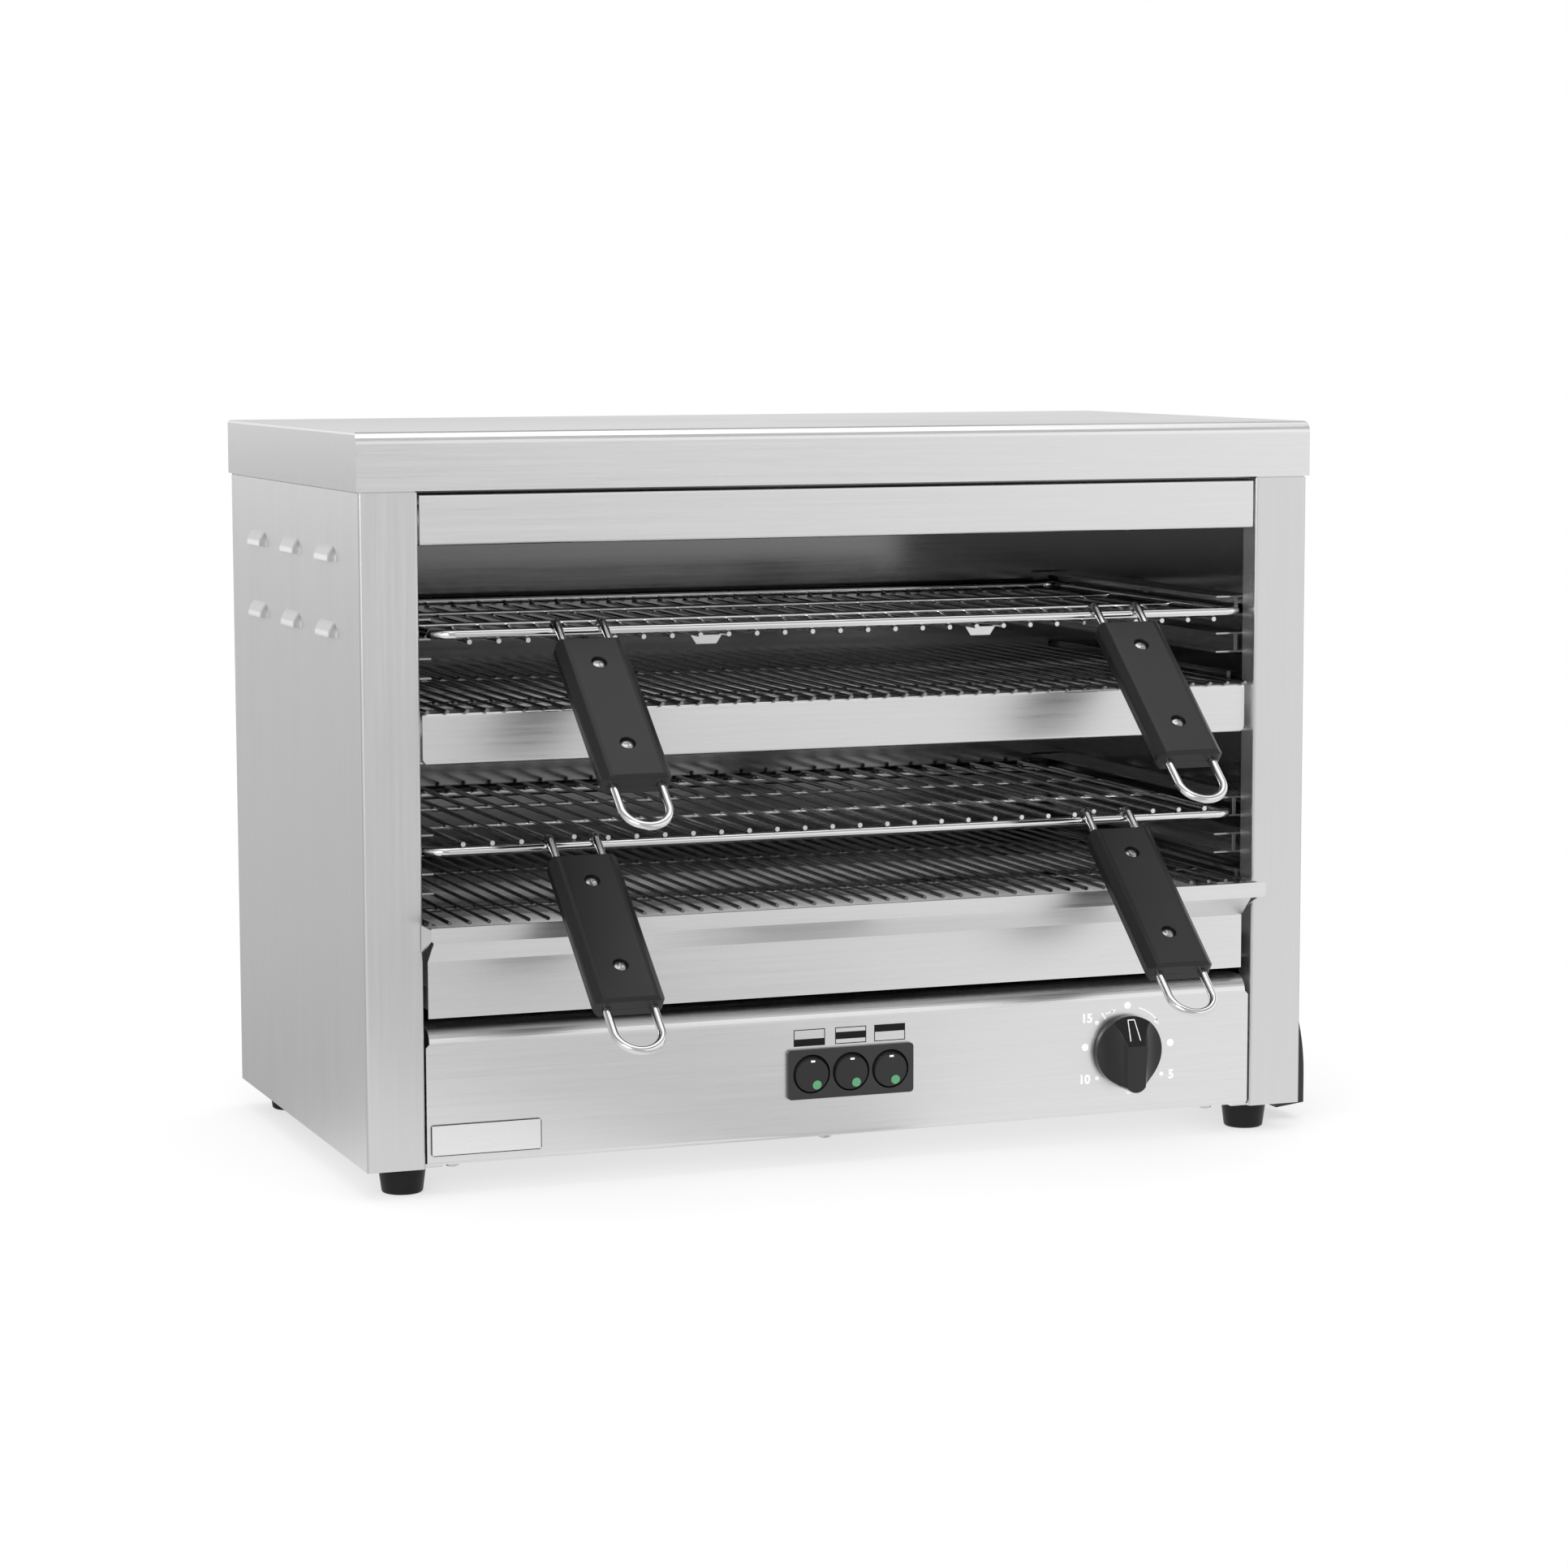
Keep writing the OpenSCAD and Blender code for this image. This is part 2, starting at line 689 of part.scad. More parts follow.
// The right side panel's set-in upper edge, which carries the lid behind the seam.
module panel_upstand() {
    rear_in = rear_y - sheet;
    low = skin_top - seam_lap;
    // The front of the edge stays below the lid's rounded front.
    front_top = side_top - lid_r;
    block([half_w - 2 * sheet, sheet, low], [half_w - sheet, rear_y, front_top]);
    block([half_w - 2 * sheet, post_return, low], [half_w - sheet, rear_y, side_top]);
    block([wall_x + sheet, sheet, low], [half_w - sheet, 2 * sheet, front_top]);
    block([half_w - flange_w, rear_in, low], [half_w - sheet, rear_y, side_top]);
    block([half_w - 2 * flange_w, post_return, side_top - sheet], [half_w - 1.5 * sheet, rear_in, side_top]);
}

// The right side panel with its post, flanges and louvres. The left one mirrors it.
module side_panel() {
    rear_in = rear_y - sheet;
    difference() {
        union() {
            translate([0, 0, foot_h]) linear_extrude(skin_top - foot_h) polygon(concat(
                [[half_w - flange_w, rear_y], [half_w, rear_y]],
                arc([half_w - bend_r, bend_r], bend_r, 0, -90),
                arc([wall_x + bend_r, bend_r], bend_r, -90, -180),
                [[wall_x, post_return], [wall_x + sheet, post_return]],
                arc([wall_x + bend_r, bend_r], bend_r - sheet, -180, -90),
                arc([half_w - bend_r, bend_r], bend_r - sheet, -90, 0),
                [[half_w - sheet, rear_in], [half_w - flange_w, rear_in]]
            ));
            block([half_w - foot_flange_w, sill_y, foot_h], [half_w - sheet / 2, rear_in, base_z]);
            panel_upstand();
        }
        foot_screws_at() translate([0, 0, foot_h - 1])
            cylinder(d = foot_screw_d + 2 * hole_gap, h = sheet + 2);
        rear_screws_at() screw_hole();
        louvres_at() intersection() {
            louvre_barrel(sheet);
            block([half_w - 2 * sheet, -louvre_l, 0], [half_w + louvre_out, louvre_l, louvre_h]);
        }
    }
    louvres_at() intersection() {
        difference() {
            louvre_barrel(0);
            louvre_barrel(sheet);
        }
        block([half_w - sheet, -louvre_l, 0], [half_w + louvre_out, louvre_l, louvre_h]);
    }
}

module left_side_panel() {
    color(steel) placed() mirror([1, 0, 0]) side_panel();
}

module right_side_panel() {
    color(steel) placed() difference() {
        side_panel();
        gland_at() translate([0, 0, -4]) cylinder(d = gland_d + 2 * hole_gap, h = 8);
    }
}

module rear_panel() {
    color(steel) placed() difference() {
        block([0.5 - half_w, rear_y, foot_h], [half_w - 0.5, body_d, side_top]);
        both_sides() rear_screws_at() screw_hole();
        lid_screws_at() screw_hole();
        for (i = [-3 : 3], j = [0 : 2])
            translate([i * rear_vent_pitch, rear_y, foot_h + rear_vent_z + j * rear_vent_row]) vent_slot();
    }
}

// A slot with round ends, cut along y.
module vent_slot() {
    along_y(-1, sheet + 1) {
        square([vent_l - vent_h, vent_h], center = true);
        for (s = [-1, 1]) translate([s * (vent_l - vent_h) / 2, 0]) circle(d = vent_h);
    }
}

module base_plate() {
    notch_gap = 0.5;
    color(steel) placed() difference() {
        block([sheet - half_w, sill_y, base_z], [half_w - sheet, rear_y - sheet, panel_z]);
        // Notches for the posts' returns.
        both_sides() block(
            [wall_x - notch_gap, 0, base_z - 1],
            [wall_x + sheet + notch_gap, post_return + notch_gap, panel_z + 1]
        );
        both_sides() foot_screws_at() translate([0, 0, foot_h])
            cylinder(d = foot_screw_d + 2 * hole_gap, h = 3 * sheet);
        panel_screws_at() screw_hole();
        for (i = [-2 : 2], j = [0 : 3])
            translate([i * base_vent_pitch, base_vent_y + j * base_vent_row, panel_z])
                rotate([-90, 0, 0]) vent_slot();
    }
}

module panel_screws_at() {
    for (x = panel_screw_xs) translate([x, panel_screw_y, base_z]) rotate([180, 0, 0]) children();
}

// ---- Front ----

module upper_fascia() {
    color(steel) placed() fascia(
        front_recess, cavity_top - upper_fascia_h, upper_fascia_h, upper_end_gap, 0.5, 0.5
    );
}

module middle_fascia() {
    color(steel) placed() fascia(
        mid_recess, mid_z, mid_fascia_h, mid_end_gap, mid_corner_low, mid_corner_top
    );
}

module control_panel() {
    y0 = front_recess;
    low_arc_c = [y0 + bend_r, panel_z + bend_r];
    nose_c = [y0 + bullnose_r, panel_top - bullnose_r];
    step_z = panel_top - bullnose_r;
    color(steel) placed() difference() {
        along_x(2 * panel_half) polygon(concat(
            [[panel_foot, panel_z]],
            arc(low_arc_c, bend_r, -90, -180),
            arc(nose_c, bullnose_r, 180, 90, 12),
            [[front_return, panel_top], [front_return, panel_top - sheet]],
            arc(nose_c, bullnose_r - sheet, 90, 180, 12),
            arc(low_arc_c, bend_r - sheet, -180, -90),
            [[panel_foot, panel_z + sheet]]
        ));
        // Notches at both ends of the rounded edge, cut at 45 degrees.
        both_sides() along_y(0, front_return + 1) polygon([
            [panel_half + 1, step_z - 1], [panel_half + 1, panel_top + 1],
            [panel_half - bullnose_step, panel_top + 1],
            [panel_half - bullnose_step, step_z + bullnose_step - 1],
            [panel_half, step_z - 1]
        ]);
        panel_screws_at() screw_hole();
        switch_cutout(0);
        timer_at() translate([0, 0, -1]) cylinder(d = bush_d + 2 * hole_gap, h = 4);
    }
}

module name_plate() {
    middle_x = -panel_half + plate_inset + plate_l / 2;
    color(steel) placed() translate([middle_x, 0, panel_z + plate_z + plate_h / 2])
        along_y(front_recess - plate_t, front_recess) rounded_rect(plate_l, plate_h, plate_r);
}

// ---- Oven cavity ----

module inner_wall() {
    difference() {
        block([wall_x, post_return, deck_top], [wall_x + sheet, cavity_back, cavity_top]);
        for (y = tube_ys, z = tube_zs) translate([wall_x - 1, y, z]) rotate([0, 90, 0])
            cylinder(d = cap_d + 2 * hole_gap, h = sheet + 2);
    }
}

module left_inner_wall() {
    color(dark_steel) placed() mirror([1, 0, 0]) inner_wall();
}

module right_inner_wall() {
    color(dark_steel) placed() inner_wall();
}

module rear_inner_wall() {
    color(dark_steel) placed() block(
        [-wall_x - sheet, cavity_back, deck_top],
        [wall_x + sheet, cavity_back + sheet, cavity_top]
    );
}

module top_reflector() {
    color(dark_steel) placed() block(
        [-wall_x - sheet, post_return, cavity_top],
        [wall_x + sheet, cavity_back + sheet, cavity_top + sheet]
    );
}

module deck_floor() {
    color(dark_steel) placed() difference() {
        block([sheet - half_w, post_return, deck_top - sheet], [half_w - sheet, rear_y - sheet, deck_top]);
        both_sides() block(
            [loom_x - drop_d, loom_y - 2 * drop_d, deck_top - 2 * sheet],
            [loom_x + drop_d, loom_y + 2 * drop_d, deck_top + sheet]
        );
    }
}

// One rail: a channel open towards the rack, with the top of its lower flange at z.
module rail(z) {
    difference() {
        block([wall_x - rail_w, rail_y, z - sheet], [wall_x, rail_end, z - sheet + rail_h]);
        block([wall_x - rail_w - 1, rail_y - 1, z], [wall_x - sheet, rail_end + 1, z + rail_h - 2 * sheet]);
    }
}

// A ledge under a guard or the tray, with its upper face at z.
module ledge(z, y0) {
    block([wall_x - rail_w, y0, z - sheet], [wall_x, rail_end, z]);
    block([wall_x - sheet, y0, z - sheet], [wall_x, rail_end, z - sheet + ledge_h]);
}

module rails() {
    for (z = rail_tops) {
        rail(z);
        rail(z - rail_drop);
    }
    ledge(mid_top - guard_drop, front_return + ledge_start);
    ledge(foot_h + lower_guard_z - guard_drop, post_return + ledge_start);
    ledge(tray_z + tray_runner_z, post_return + ledge_start);
}

module left_rails() {
    color(dark_steel) placed() mirror([1, 0, 0]) rails();
}

module right_rails() {
    color(dark_steel) placed() rails();
}

// A guard grid over heating tubes, with the underside of its rods at z.
module guard(z) {
    rod_z = z + guard_rod_d / 2;
    cross_z = z - guard_drop + guard_cross_d / 2;
    cross_half = wall_x - sheet - 1;
    for (k = [-guards_each_side : guards_each_side])
        rod([k * guard_pitch, guard_y, rod_z], [k * guard_pitch, cavity_back, rod_z], guard_rod_d);
    for (k = [0, 1]) let (y = guard_cross_y + k * guard_cross_pitch)
        rod([-cross_half, y, cross_z], [cross_half, y, cross_z], guard_cross_d);
}

module upper_guard() {
    color(dark_steel) placed() guard(mid_top, $fn = 24);
}

module lower_guard() {
    color(dark_steel) placed() guard(foot_h + lower_guard_z, $fn = 24);
}

// ---- Heaters and wiring ----

module tubes_at() {
    for (y = tube_ys, z = tube_zs) translate([0, y, z]) rotate([0, 90, 0]) children();
}

module quartz_tubes() {
    color("white") placed() tubes_at() difference() {
        cylinder(d = tube_d, h = 2 * tube_half, center = true);
        cylinder(d = tube_d - 2 * tube_wall, h = 2 * tube_half + 2, center = true);
    }
}

module heating_coils() {
    coil_d = tube_d - 2 * tube_wall - 2 * coil_gap;
    color("dimgray") placed() tubes_at() difference() {
        cylinder(d = coil_d, h = 2 * tube_half, center = true);
        cylinder(d = coil_d - 2 * coil_wall, h = 2 * tube_half + 2, center = true);
    }
}

module tube_end_caps() {
    seat_gap = 0.1;
    stud_l = loom_x - loom_d / 2 - cap_end;
    color(ceramic_white) placed() both_sides() tubes_at() difference() {
        union() {
            translate([0, 0, wall_x - 2]) cylinder(d = cap_d, h = cap_end - wall_x + 2);
            translate([0, 0, wall_x + sheet]) cylinder(d = cap_collar_d, h = cap_lip);
            translate([0, 0, cap_end]) cylinder(d = 4, h = stud_l);
        }
        translate([0, 0, wall_x - 3]) cylinder(d = tube_d + 2 * seat_gap, h = tube_half - wall_x + 3);
    }
}

// One side's loom: a run along each tube group, joined by a drop to the space below the deck.
module side_loom() {
    for (z = tube_zs) rod([loom_x, front_tube_y - 2, z], [loom_x, rear_tube_y + 2, z], loom_d);
    rod([loom_x, loom_y, loom_z - trunk_d], [loom_x, loom_y, tube_zs[0] + loom_d], drop_d);
}

module wiring() {
    terminal_wire_x = terminal_x[0] + 8;
    blade_end = switch_back_y + blade_l + 0.1;
    color("firebrick") placed() {
        both_sides() side_loom();
        rod([-loom_x - drop_d, loom_y, loom_z], [loom_x + drop_d, loom_y, loom_z], trunk_d);
        for (x = rocker_xs) rod([x, blade_end, bezel_z], [x, loom_y, loom_z], loom_d);
        rod([terminal_wire_x, terminal_y[1], loom_z], [terminal_wire_x, loom_y, loom_z], loom_d);
    }
}

module terminal_block() {
    color("ivory") placed() difference() {
        block(
            [terminal_x[0], terminal_y[0], panel_z],
            [terminal_x[1], terminal_y[1], panel_z + terminal_h]
        );
        for (k = [0 : 2]) translate([
            terminal_x[0] + 5 + 10 * k, (terminal_y[0] + terminal_y[1]) / 2, panel_z + terminal_h / 2
        ]) cylinder(d = 5, h = terminal_h);
    }
}

module gland_at() {
    translate([half_w, hood_y + hood_l / 2, foot_h + gland_z]) rotate([0, 90, 0]) children();
}

module cable_gland() {
    gland_out = 8;
    gland_in = 10;
    collar = 3;
    length = gland_out + gland_in + sheet;
    color(black) placed() gland_at() difference() {
        union() {
            translate([0, 0, -sheet - gland_in]) cylinder(d = gland_d, h = length);
            cylinder(d = gland_d + 2 * collar, h = collar);
            translate([0, 0, -sheet - collar]) cylinder(d = gland_d + 2 * collar, h = collar);
        }
        translate([0, 0, -sheet - gland_in - 1]) cylinder(d = gland_bore, h = length + 2);
    }
}

// The hood's side view: a quarter bow from the wall to its widest line, then straight down.
module hood_outline(inset) {
    rise = hood_top - hood_wide_z;
    bow_r = (rise * rise + hood_out * hood_out) / (2 * hood_out);
    wide_z = foot_h + hood_wide_z;
    bow_end = asin(rise / bow_r);
    polygon(concat(
        [[half_w, foot_h - hood_below - inset], [half_w + hood_out - inset, foot_h - hood_below - inset + 2]],
        arc([half_w + hood_out - bow_r, wide_z], bow_r - inset, 0, bow_end * (1 - inset * 0.05), 14),
        [[half_w, foot_h + hood_top - 2.5 * inset]]
    ));
}

module cable_hood() {
    color(black) placed() {
        difference() {
            along_y(hood_y, hood_y + hood_l) hood_outline(0);
            along_y(hood_y + hood_wall, hood_y + hood_l - hood_wall) difference() {
                hood_outline(hood_wall);
                // The wall's own foot below the cabinet stays closed towards the wall.
                translate([half_w - 1, 0]) square([hood_wall + 1, foot_h + 2]);
            }
        }
    }
}

// ---- Feet and fasteners ----

module foot() {
    lower_r = 1.5;
    r0 = foot_base_d / 2;
    r1 = foot_d / 2;
    difference() {
        rotate_extrude($fn = 64) polygon(concat(
            [[0, 0]],
            arc([r0 - lower_r, lower_r], lower_r, -90, 0, 4),
            [[r1, foot_h], [0, foot_h]]
        ));
        translate([0, 0, -1]) cylinder(d = foot_screw_d + 2 * hole_gap, h = foot_h + 2);
        translate([0, 0, -1]) cylinder(d = foot_seat_d, h = foot_h / 2 + 1);
    }
}

module feet() {
    color(black) placed() both_sides() foot_screws_at() foot();
}

module foot_screws() {
    past_nut = 2;
    length = panel_z - foot_h / 2 + foot_nut_h + past_nut;
    color(steel) placed() both_sides() foot_screws_at() {
        translate([0, 0, foot_h / 2]) rotate([180, 0, 0])
            pan_screw(foot_screw_d, length, foot_head_d, foot_head_h);
        translate([0, 0, panel_z]) cylinder(d = foot_nut_d, h = foot_nut_h, $fn = 6);
    }
}

module panel_screws() {
    color(steel) placed() {
        both_sides() rear_screws_at() pan_screw(screw_d, screw_l, screw_head_d, screw_head_h);
        lid_screws_at() pan_screw(screw_d, screw_l, screw_head_d, screw_head_h);
        panel_screws_at() pan_screw(screw_d, screw_l, screw_head_d, screw_head_h);
    }
}

// ---- Racks ----

module rack_frame(z) {
    r = rack_corner_r;
    back = bar_y + rack_depth;
    translate([0, 0, z]) both_sides() {
        rod([0, bar_y, 0], [rack_half - r, bar_y, 0], bar_d);
        rod([0, back, 0], [rack_half - r, back, 0], bar_d);
        rod([rack_half, bar_y + r, 0], [rack_half, back - r, 0], bar_d);
        translate([rack_half - r, bar_y + r, 0]) rotate([0, 0, -90])
            rotate_extrude(angle = 90) translate([r, 0]) circle(d = bar_d);
        translate([rack_half - r, back - r, 0])
            rotate_extrude(angle = 90) translate([r, 0]) circle(d = bar_d);
    }
}

// A rack's rods at rod_z. Those within clear_x of a handle's centre line start behind its wire.
module rack_rods(rod_z, cross_z, clear_x) {
    overhang = bar_d / 2 - 0.5;
    front = bar_y - overhang;
    back = bar_y + rack_depth + overhang;
    behind_wire = bar_y + arch_r + wire_d / 2 + slide_gap;
    cross_half = rack_half - bar_d / 2 - 0.05;
    for (x = rod_xs) let (start = abs(abs(x) - handle_x) < clear_x ? behind_wire : front)
        rod([x, start, rod_z], [x, back, rod_z], rod_d);
    for (k = [0, 1]) let (y = cross_rod_y + k * cross_rod_pitch)
        rod([-cross_half, y, cross_z], [cross_half, y, cross_z], rod_d);
}

// Small stop plates welded under two neighbouring rods on each side.
module rack_stops() {
    between = 5 * rod_pitch;
    under_z = upper_bar_z - rod_offset - rod_d / 2;
    taper = 3;
    color(bright_wire) placed(upper_rack_x) both_sides() along_y(stop_y - sheet / 2, stop_y + sheet / 2)
        polygon([
            [between - stop_w / 2, under_z], [between + stop_w / 2, under_z],
            [between + stop_w / 2 - taper, under_z - stop_h], [between - stop_w / 2 + taper, under_z - stop_h]
        ]);
}

// Puts a handle's own frame on a rack: the wire's legs run along -y at z = arch_r.
module handles_at(bar_z, sides) {
    for (s = sides) translate([s * handle_x, bar_y, bar_z]) rotate([handle_slope, 0, 0]) children();
}

// One closed wire: a loop in front of the grip, two legs, and an arch over the rack's front wire.
module handle_wire() {
    arch_turn = 90 + handle_slope;
    both_sides() {
        translate([leg_x, 0, arch_r]) rotate([90, 0, 0]) cylinder(d = wire_d, h = loop_s);
        translate([leg_x, 0, 0]) rotate([0, 90, 0]) rotate([0, 0, 180])
            rotate_extrude(angle = -arch_turn) translate([arch_r, 0]) circle(d = wire_d);
    }
    translate([0, -loop_s, arch_r]) rotate([0, 0, 180])
        rotate_extrude(angle = 180) translate([leg_x, 0]) circle(d = wire_d);
    // The welded cross wire behind the rack's front wire is a little thinner.
    cross_half = leg_x + wire_d / 2 - weld;
    rotate([-handle_slope, 0, 0]) rod([-cross_half, arch_r, 0], [cross_half, arch_r, 0], wire_d - 0.2);
}

// The upper half of a grip, above its parting line at z = arch_r.
module grip_shell() {
    t = grip_t / 2;
    w = grip_w / 2;
    flat = grip_flat_w / 2;
    crown_r = 2;
    end_slope = 1.5;
    r = grip_corner_r;
    difference() {
        intersection() {
            // Cross-section, along the grip.
            translate([0, 0, arch_r]) along_y(-grip_end, -grip_start) polygon([
                [-w, 0], [w, 0], [w, grip_edge_h], [w - 0.6, grip_edge_h + 0.9],
                [flat + crown_r, t - 0.5], [flat, t], [-flat, t], [-flat - crown_r, t - 0.5],
                [0.6 - w, grip_edge_h + 0.9], [-w, grip_edge_h]
            ]);
            // Side view, with sloping ends.
            along_x(grip_w + 2) polygon([
                [-grip_start, arch_r], [-grip_start, arch_r + t - end_slope],
                [-grip_start - end_slope, arch_r + t], [-grip_end + end_slope, arch_r + t],
                [-grip_end, arch_r + t - end_slope], [-grip_end, arch_r]
            ]);
            // Outline from above, with round corners.
            linear_extrude(2 * (arch_r + grip_t)) polygon(concat(
                arc([w - r, -grip_start - r], r, 0, 90, 5), arc([r - w, -grip_start - r], r, 90, 180, 5),
                arc([r - w, r - grip_end], r, 180, 270, 5), arc([w - r, r - grip_end], r, 270, 360, 5)
            ));
        }
        wire_channels();
        grip_screws_at() translate([0, 0, -1]) cylinder(d = grip_screw_d + 2 * hole_gap, h = t + 2);
    }
}

module wire_channels() {
    both_sides() rod(
        [leg_x, 1 - grip_start, arch_r], [leg_x, -grip_end - 1, arch_r], wire_d + 2 * channel_gap
    );
}

module grip_screws_at() {
    for (k = [0, 1]) translate([0, -grip_start - grip_screw_s - k * grip_screw_pitch, arch_r]) children();
}

module grip_top() {
    color(black) difference() {
        grip_shell();
        grip_screws_at() translate([0, 0, grip_t / 2 - grip_seat_h])
            cylinder(d = grip_seat_d, h = grip_seat_h + 1);
    }
}

module grip_bottom() {
    color(black) translate([0, 0, 2 * arch_r]) mirror([0, 0, 1]) difference() {
        grip_shell();
        grip_screws_at() translate([0, 0, grip_t / 2 - grip_seat_h])
            cylinder(d = (nut_flats + 0.3) / cos(30), h = grip_seat_h + 1, $fn = 6);
    }
}

module grip_screw() {
    seat = grip_t / 2 - grip_seat_h;
    translate([0, 0, seat]) difference() {
        pan_screw(grip_screw_d, 2 * seat + grip_seat_h, grip_head_d, grip_head_h);
        // Cross recess.
        for (a = [0, 90]) rotate([0, 0, a]) translate([-1.6, -0.4, grip_head_h - 0.9]) cube([3.2, 0.8, 2]);
    }
    translate([0, 0, -seat - grip_seat_h + 0.2])
        cylinder(d = nut_flats / cos(30), h = grip_seat_h - 0.2, $fn = 6);
}

module grip_screws(rack_x, bar_z) {
    color(bright_wire) placed(rack_x) handles_at(bar_z, [-1, 1]) grip_screws_at() grip_screw();
}

module upper_rack_frame() {
    color(bright_wire) placed(upper_rack_x) rack_frame(upper_bar_z);
}

module upper_rack_rods() {
    rod_z = upper_bar_z - rod_offset;
    color(bright_wire) placed(upper_rack_x) rack_rods(rod_z, rod_z + rod_d - weld, 0, $fn = 24);
}

module upper_handle_wires() {
    color(bright_wire) placed(upper_rack_x) handles_at(upper_bar_z, [-1, 1]) handle_wire();
}

module upper_left_grip_top() {
    placed(upper_rack_x) handles_at(upper_bar_z, [-1]) grip_top();
}

module upper_left_grip_bottom() {
    placed(upper_rack_x) handles_at(upper_bar_z, [-1]) grip_bottom();
}

module upper_right_grip_top() {
    placed(upper_rack_x) handles_at(upper_bar_z, [1]) grip_top();
}

module upper_right_grip_bottom() {
    placed(upper_rack_x) handles_at(upper_bar_z, [1]) grip_bottom();
}

module upper_grip_screws() {
    grip_screws(upper_rack_x, upper_bar_z);
}

module lower_rack_frame() {
    color(bright_wire) placed(lower_rack_x) rack_frame(lower_bar_z);
}

module lower_rack_rods() {
    rod_z = lower_bar_z + rod_offset;
    clear_x = leg_x + (wire_d + rod_d) / 2 + slide_gap;
    color(bright_wire) placed(lower_rack_x) rack_rods(rod_z, rod_z - rod_d + weld, clear_x, $fn = 24);
}

module lower_handle_wires() {
    color(bright_wire) placed(lower_rack_x) handles_at(lower_bar_z, [-1, 1]) handle_wire();
}

module lower_left_grip_top() {
    placed(lower_rack_x) handles_at(lower_bar_z, [-1]) grip_top();
}

module lower_left_grip_bottom() {
    placed(lower_rack_x) handles_at(lower_bar_z, [-1]) grip_bottom();
}

module lower_right_grip_top() {
    placed(lower_rack_x) handles_at(lower_bar_z, [1]) grip_top();
}

module lower_right_grip_bottom() {
    placed(lower_rack_x) handles_at(lower_bar_z, [1]) grip_bottom();
}

module lower_grip_screws() {
    grip_screws(lower_rack_x, lower_bar_z);
}

// ---- Crumb tray ----

module crumb_tray_pan() {
    color(steel) placed(tray_x) difference() {
        block(
            [-tray_half, tray_front_y, tray_floor_z],
            [tray_half, tray_back_y, tray_floor_z + tray_wall_h]
        );
        block(
            [sheet - tray_half, tray_front_y + sheet, tray_floor_z + sheet],
            [tray_half - sheet, tray_back_y - sheet, tray_floor_z + tray_wall_h + 1]
        );
    }
}

module crumb_tray_front() {
    y0 = front_recess;
    knee = tray_z + tray_front_h;
    tip_y = y0 - lip_reach;
    tip_z = knee + lip_rise;
    grade = lip_rise / lip_reach;
    // The slope's rear face lies one sheet behind its front face.
    rear_shift = sheet * sqrt(1 + grade * grade);
    lip_half = tray_half + lip_extra;
    r = lip_corner_r;
    color(steel) placed(tray_x) {
        along_x(2 * tray_half) polygon([
            [y0, tray_z], [y0, knee], [tip_y + sheet, knee + grade * (lip_reach - sheet)],
            [tip_y + sheet, tip_z - lip_h], [tip_y, tip_z - lip_h], [tip_y, tip_z],
            [y0 - (tip_z - knee - rear_shift) / grade, tip_z],
            [y0 + sheet, knee + rear_shift - grade * sheet], [y0 + sheet, tray_z]
        ]);
        along_y(tip_y, tip_y + sheet) polygon(concat(
            arc([lip_half - r, tip_z - lip_h + r], r, -90, 0),
            arc([lip_half - r / 2, tip_z - r / 2], r / 2, 0, 90),
            arc([r / 2 - lip_half, tip_z - r / 2], r / 2, 90, 180),
            arc([r - lip_half, tip_z - lip_h + r], r, 180, 270)
        ));
        // Cheeks bent back from the lip's ends keep the crumbs from falling out sideways.
        both_sides() translate([lip_half - sheet / 2, 0, 0]) along_x(sheet) polygon([
            [tip_y + sheet / 2, tip_z - lip_h + r], [tip_y + sheet / 2, tip_z - sheet],
            [-cheek_gap, tip_z - sheet], [-cheek_gap, tip_z - sheet - cheek_h]
        ]);
    }
}

// ---- Switches ----

module rounded_rect(w, h, r) {
    polygon(concat(
        arc([w / 2 - r, h / 2 - r], r, 0, 90), arc([r - w / 2, h / 2 - r], r, 90, 180),
        arc([r - w / 2, r - h / 2], r, 180, 270), arc([w / 2 - r, r - h / 2], r, 270, 360)
    ));
}

// The panel's cut-out, or with a gap the housing that fits in it.
module switch_cutout(gap) {
    w = bezel_w - 2 * bezel_lap - 2 * gap;
    h = bezel_h - 2 * bezel_lap - 2 * gap;
    translate([switch_x, 0, bezel_z]) along_y(front_recess - 0.5, switch_back_y)
        square([w, h], center = true);
}

module switch_frame() {
    face = front_recess - bezel_out;
    pocket_r = rocker_r + rocker_gap;
    pocket_end = pivot_y + rocker_r + rocker_gap;
    color(black) placed() difference() {
        union() {
            translate([switch_x, 0, bezel_z]) along_y(face, front_recess)
                rounded_rect(bezel_w, bezel_h, bezel_r);
            switch_cutout(hole_gap);
        }
        for (x = rocker_xs) translate([x, 0, bezel_z]) {
            along_y(face - 1, pocket_end) circle(pocket_r);
            translate([0, pivot_y, 0]) rotate([0, 90, 0])
                cylinder(d = stub_d + 2 * stub_gap, h = 2 * (rocker_r + stub_l + 0.02), center = true);
        }
    }
}

module switch_terminals() {
    blade_w = 6.3;
    color("silver") placed() for (x = rocker_xs, k = [-1 : 1]) translate([x, switch_back_y, bezel_z + 7 * k])
        block([-blade_w / 2, 0, -0.4], [blade_w / 2, blade_l, 0.4]);
}

// One rocker about its pivot at x, tilted as it stands when off.
module rocker_at(x) {
    translate([x, pivot_y, bezel_z]) rotate([rocker_tilt, 0, 0]) children();
}

module rocker(x) {
    color(black) placed() rocker_at(x) difference() {
        union() {
            intersection() {
                sphere(rocker_r, $fn = 96);
                block([-rocker_r, -rocker_face, -rocker_r], [rocker_r, rocker_back, rocker_r]);
            }
            rotate([0, 90, 0]) cylinder(d = stub_d, h = 2 * (rocker_r + stub_l), center = true);
        }
        lens_well(1);
    }
}

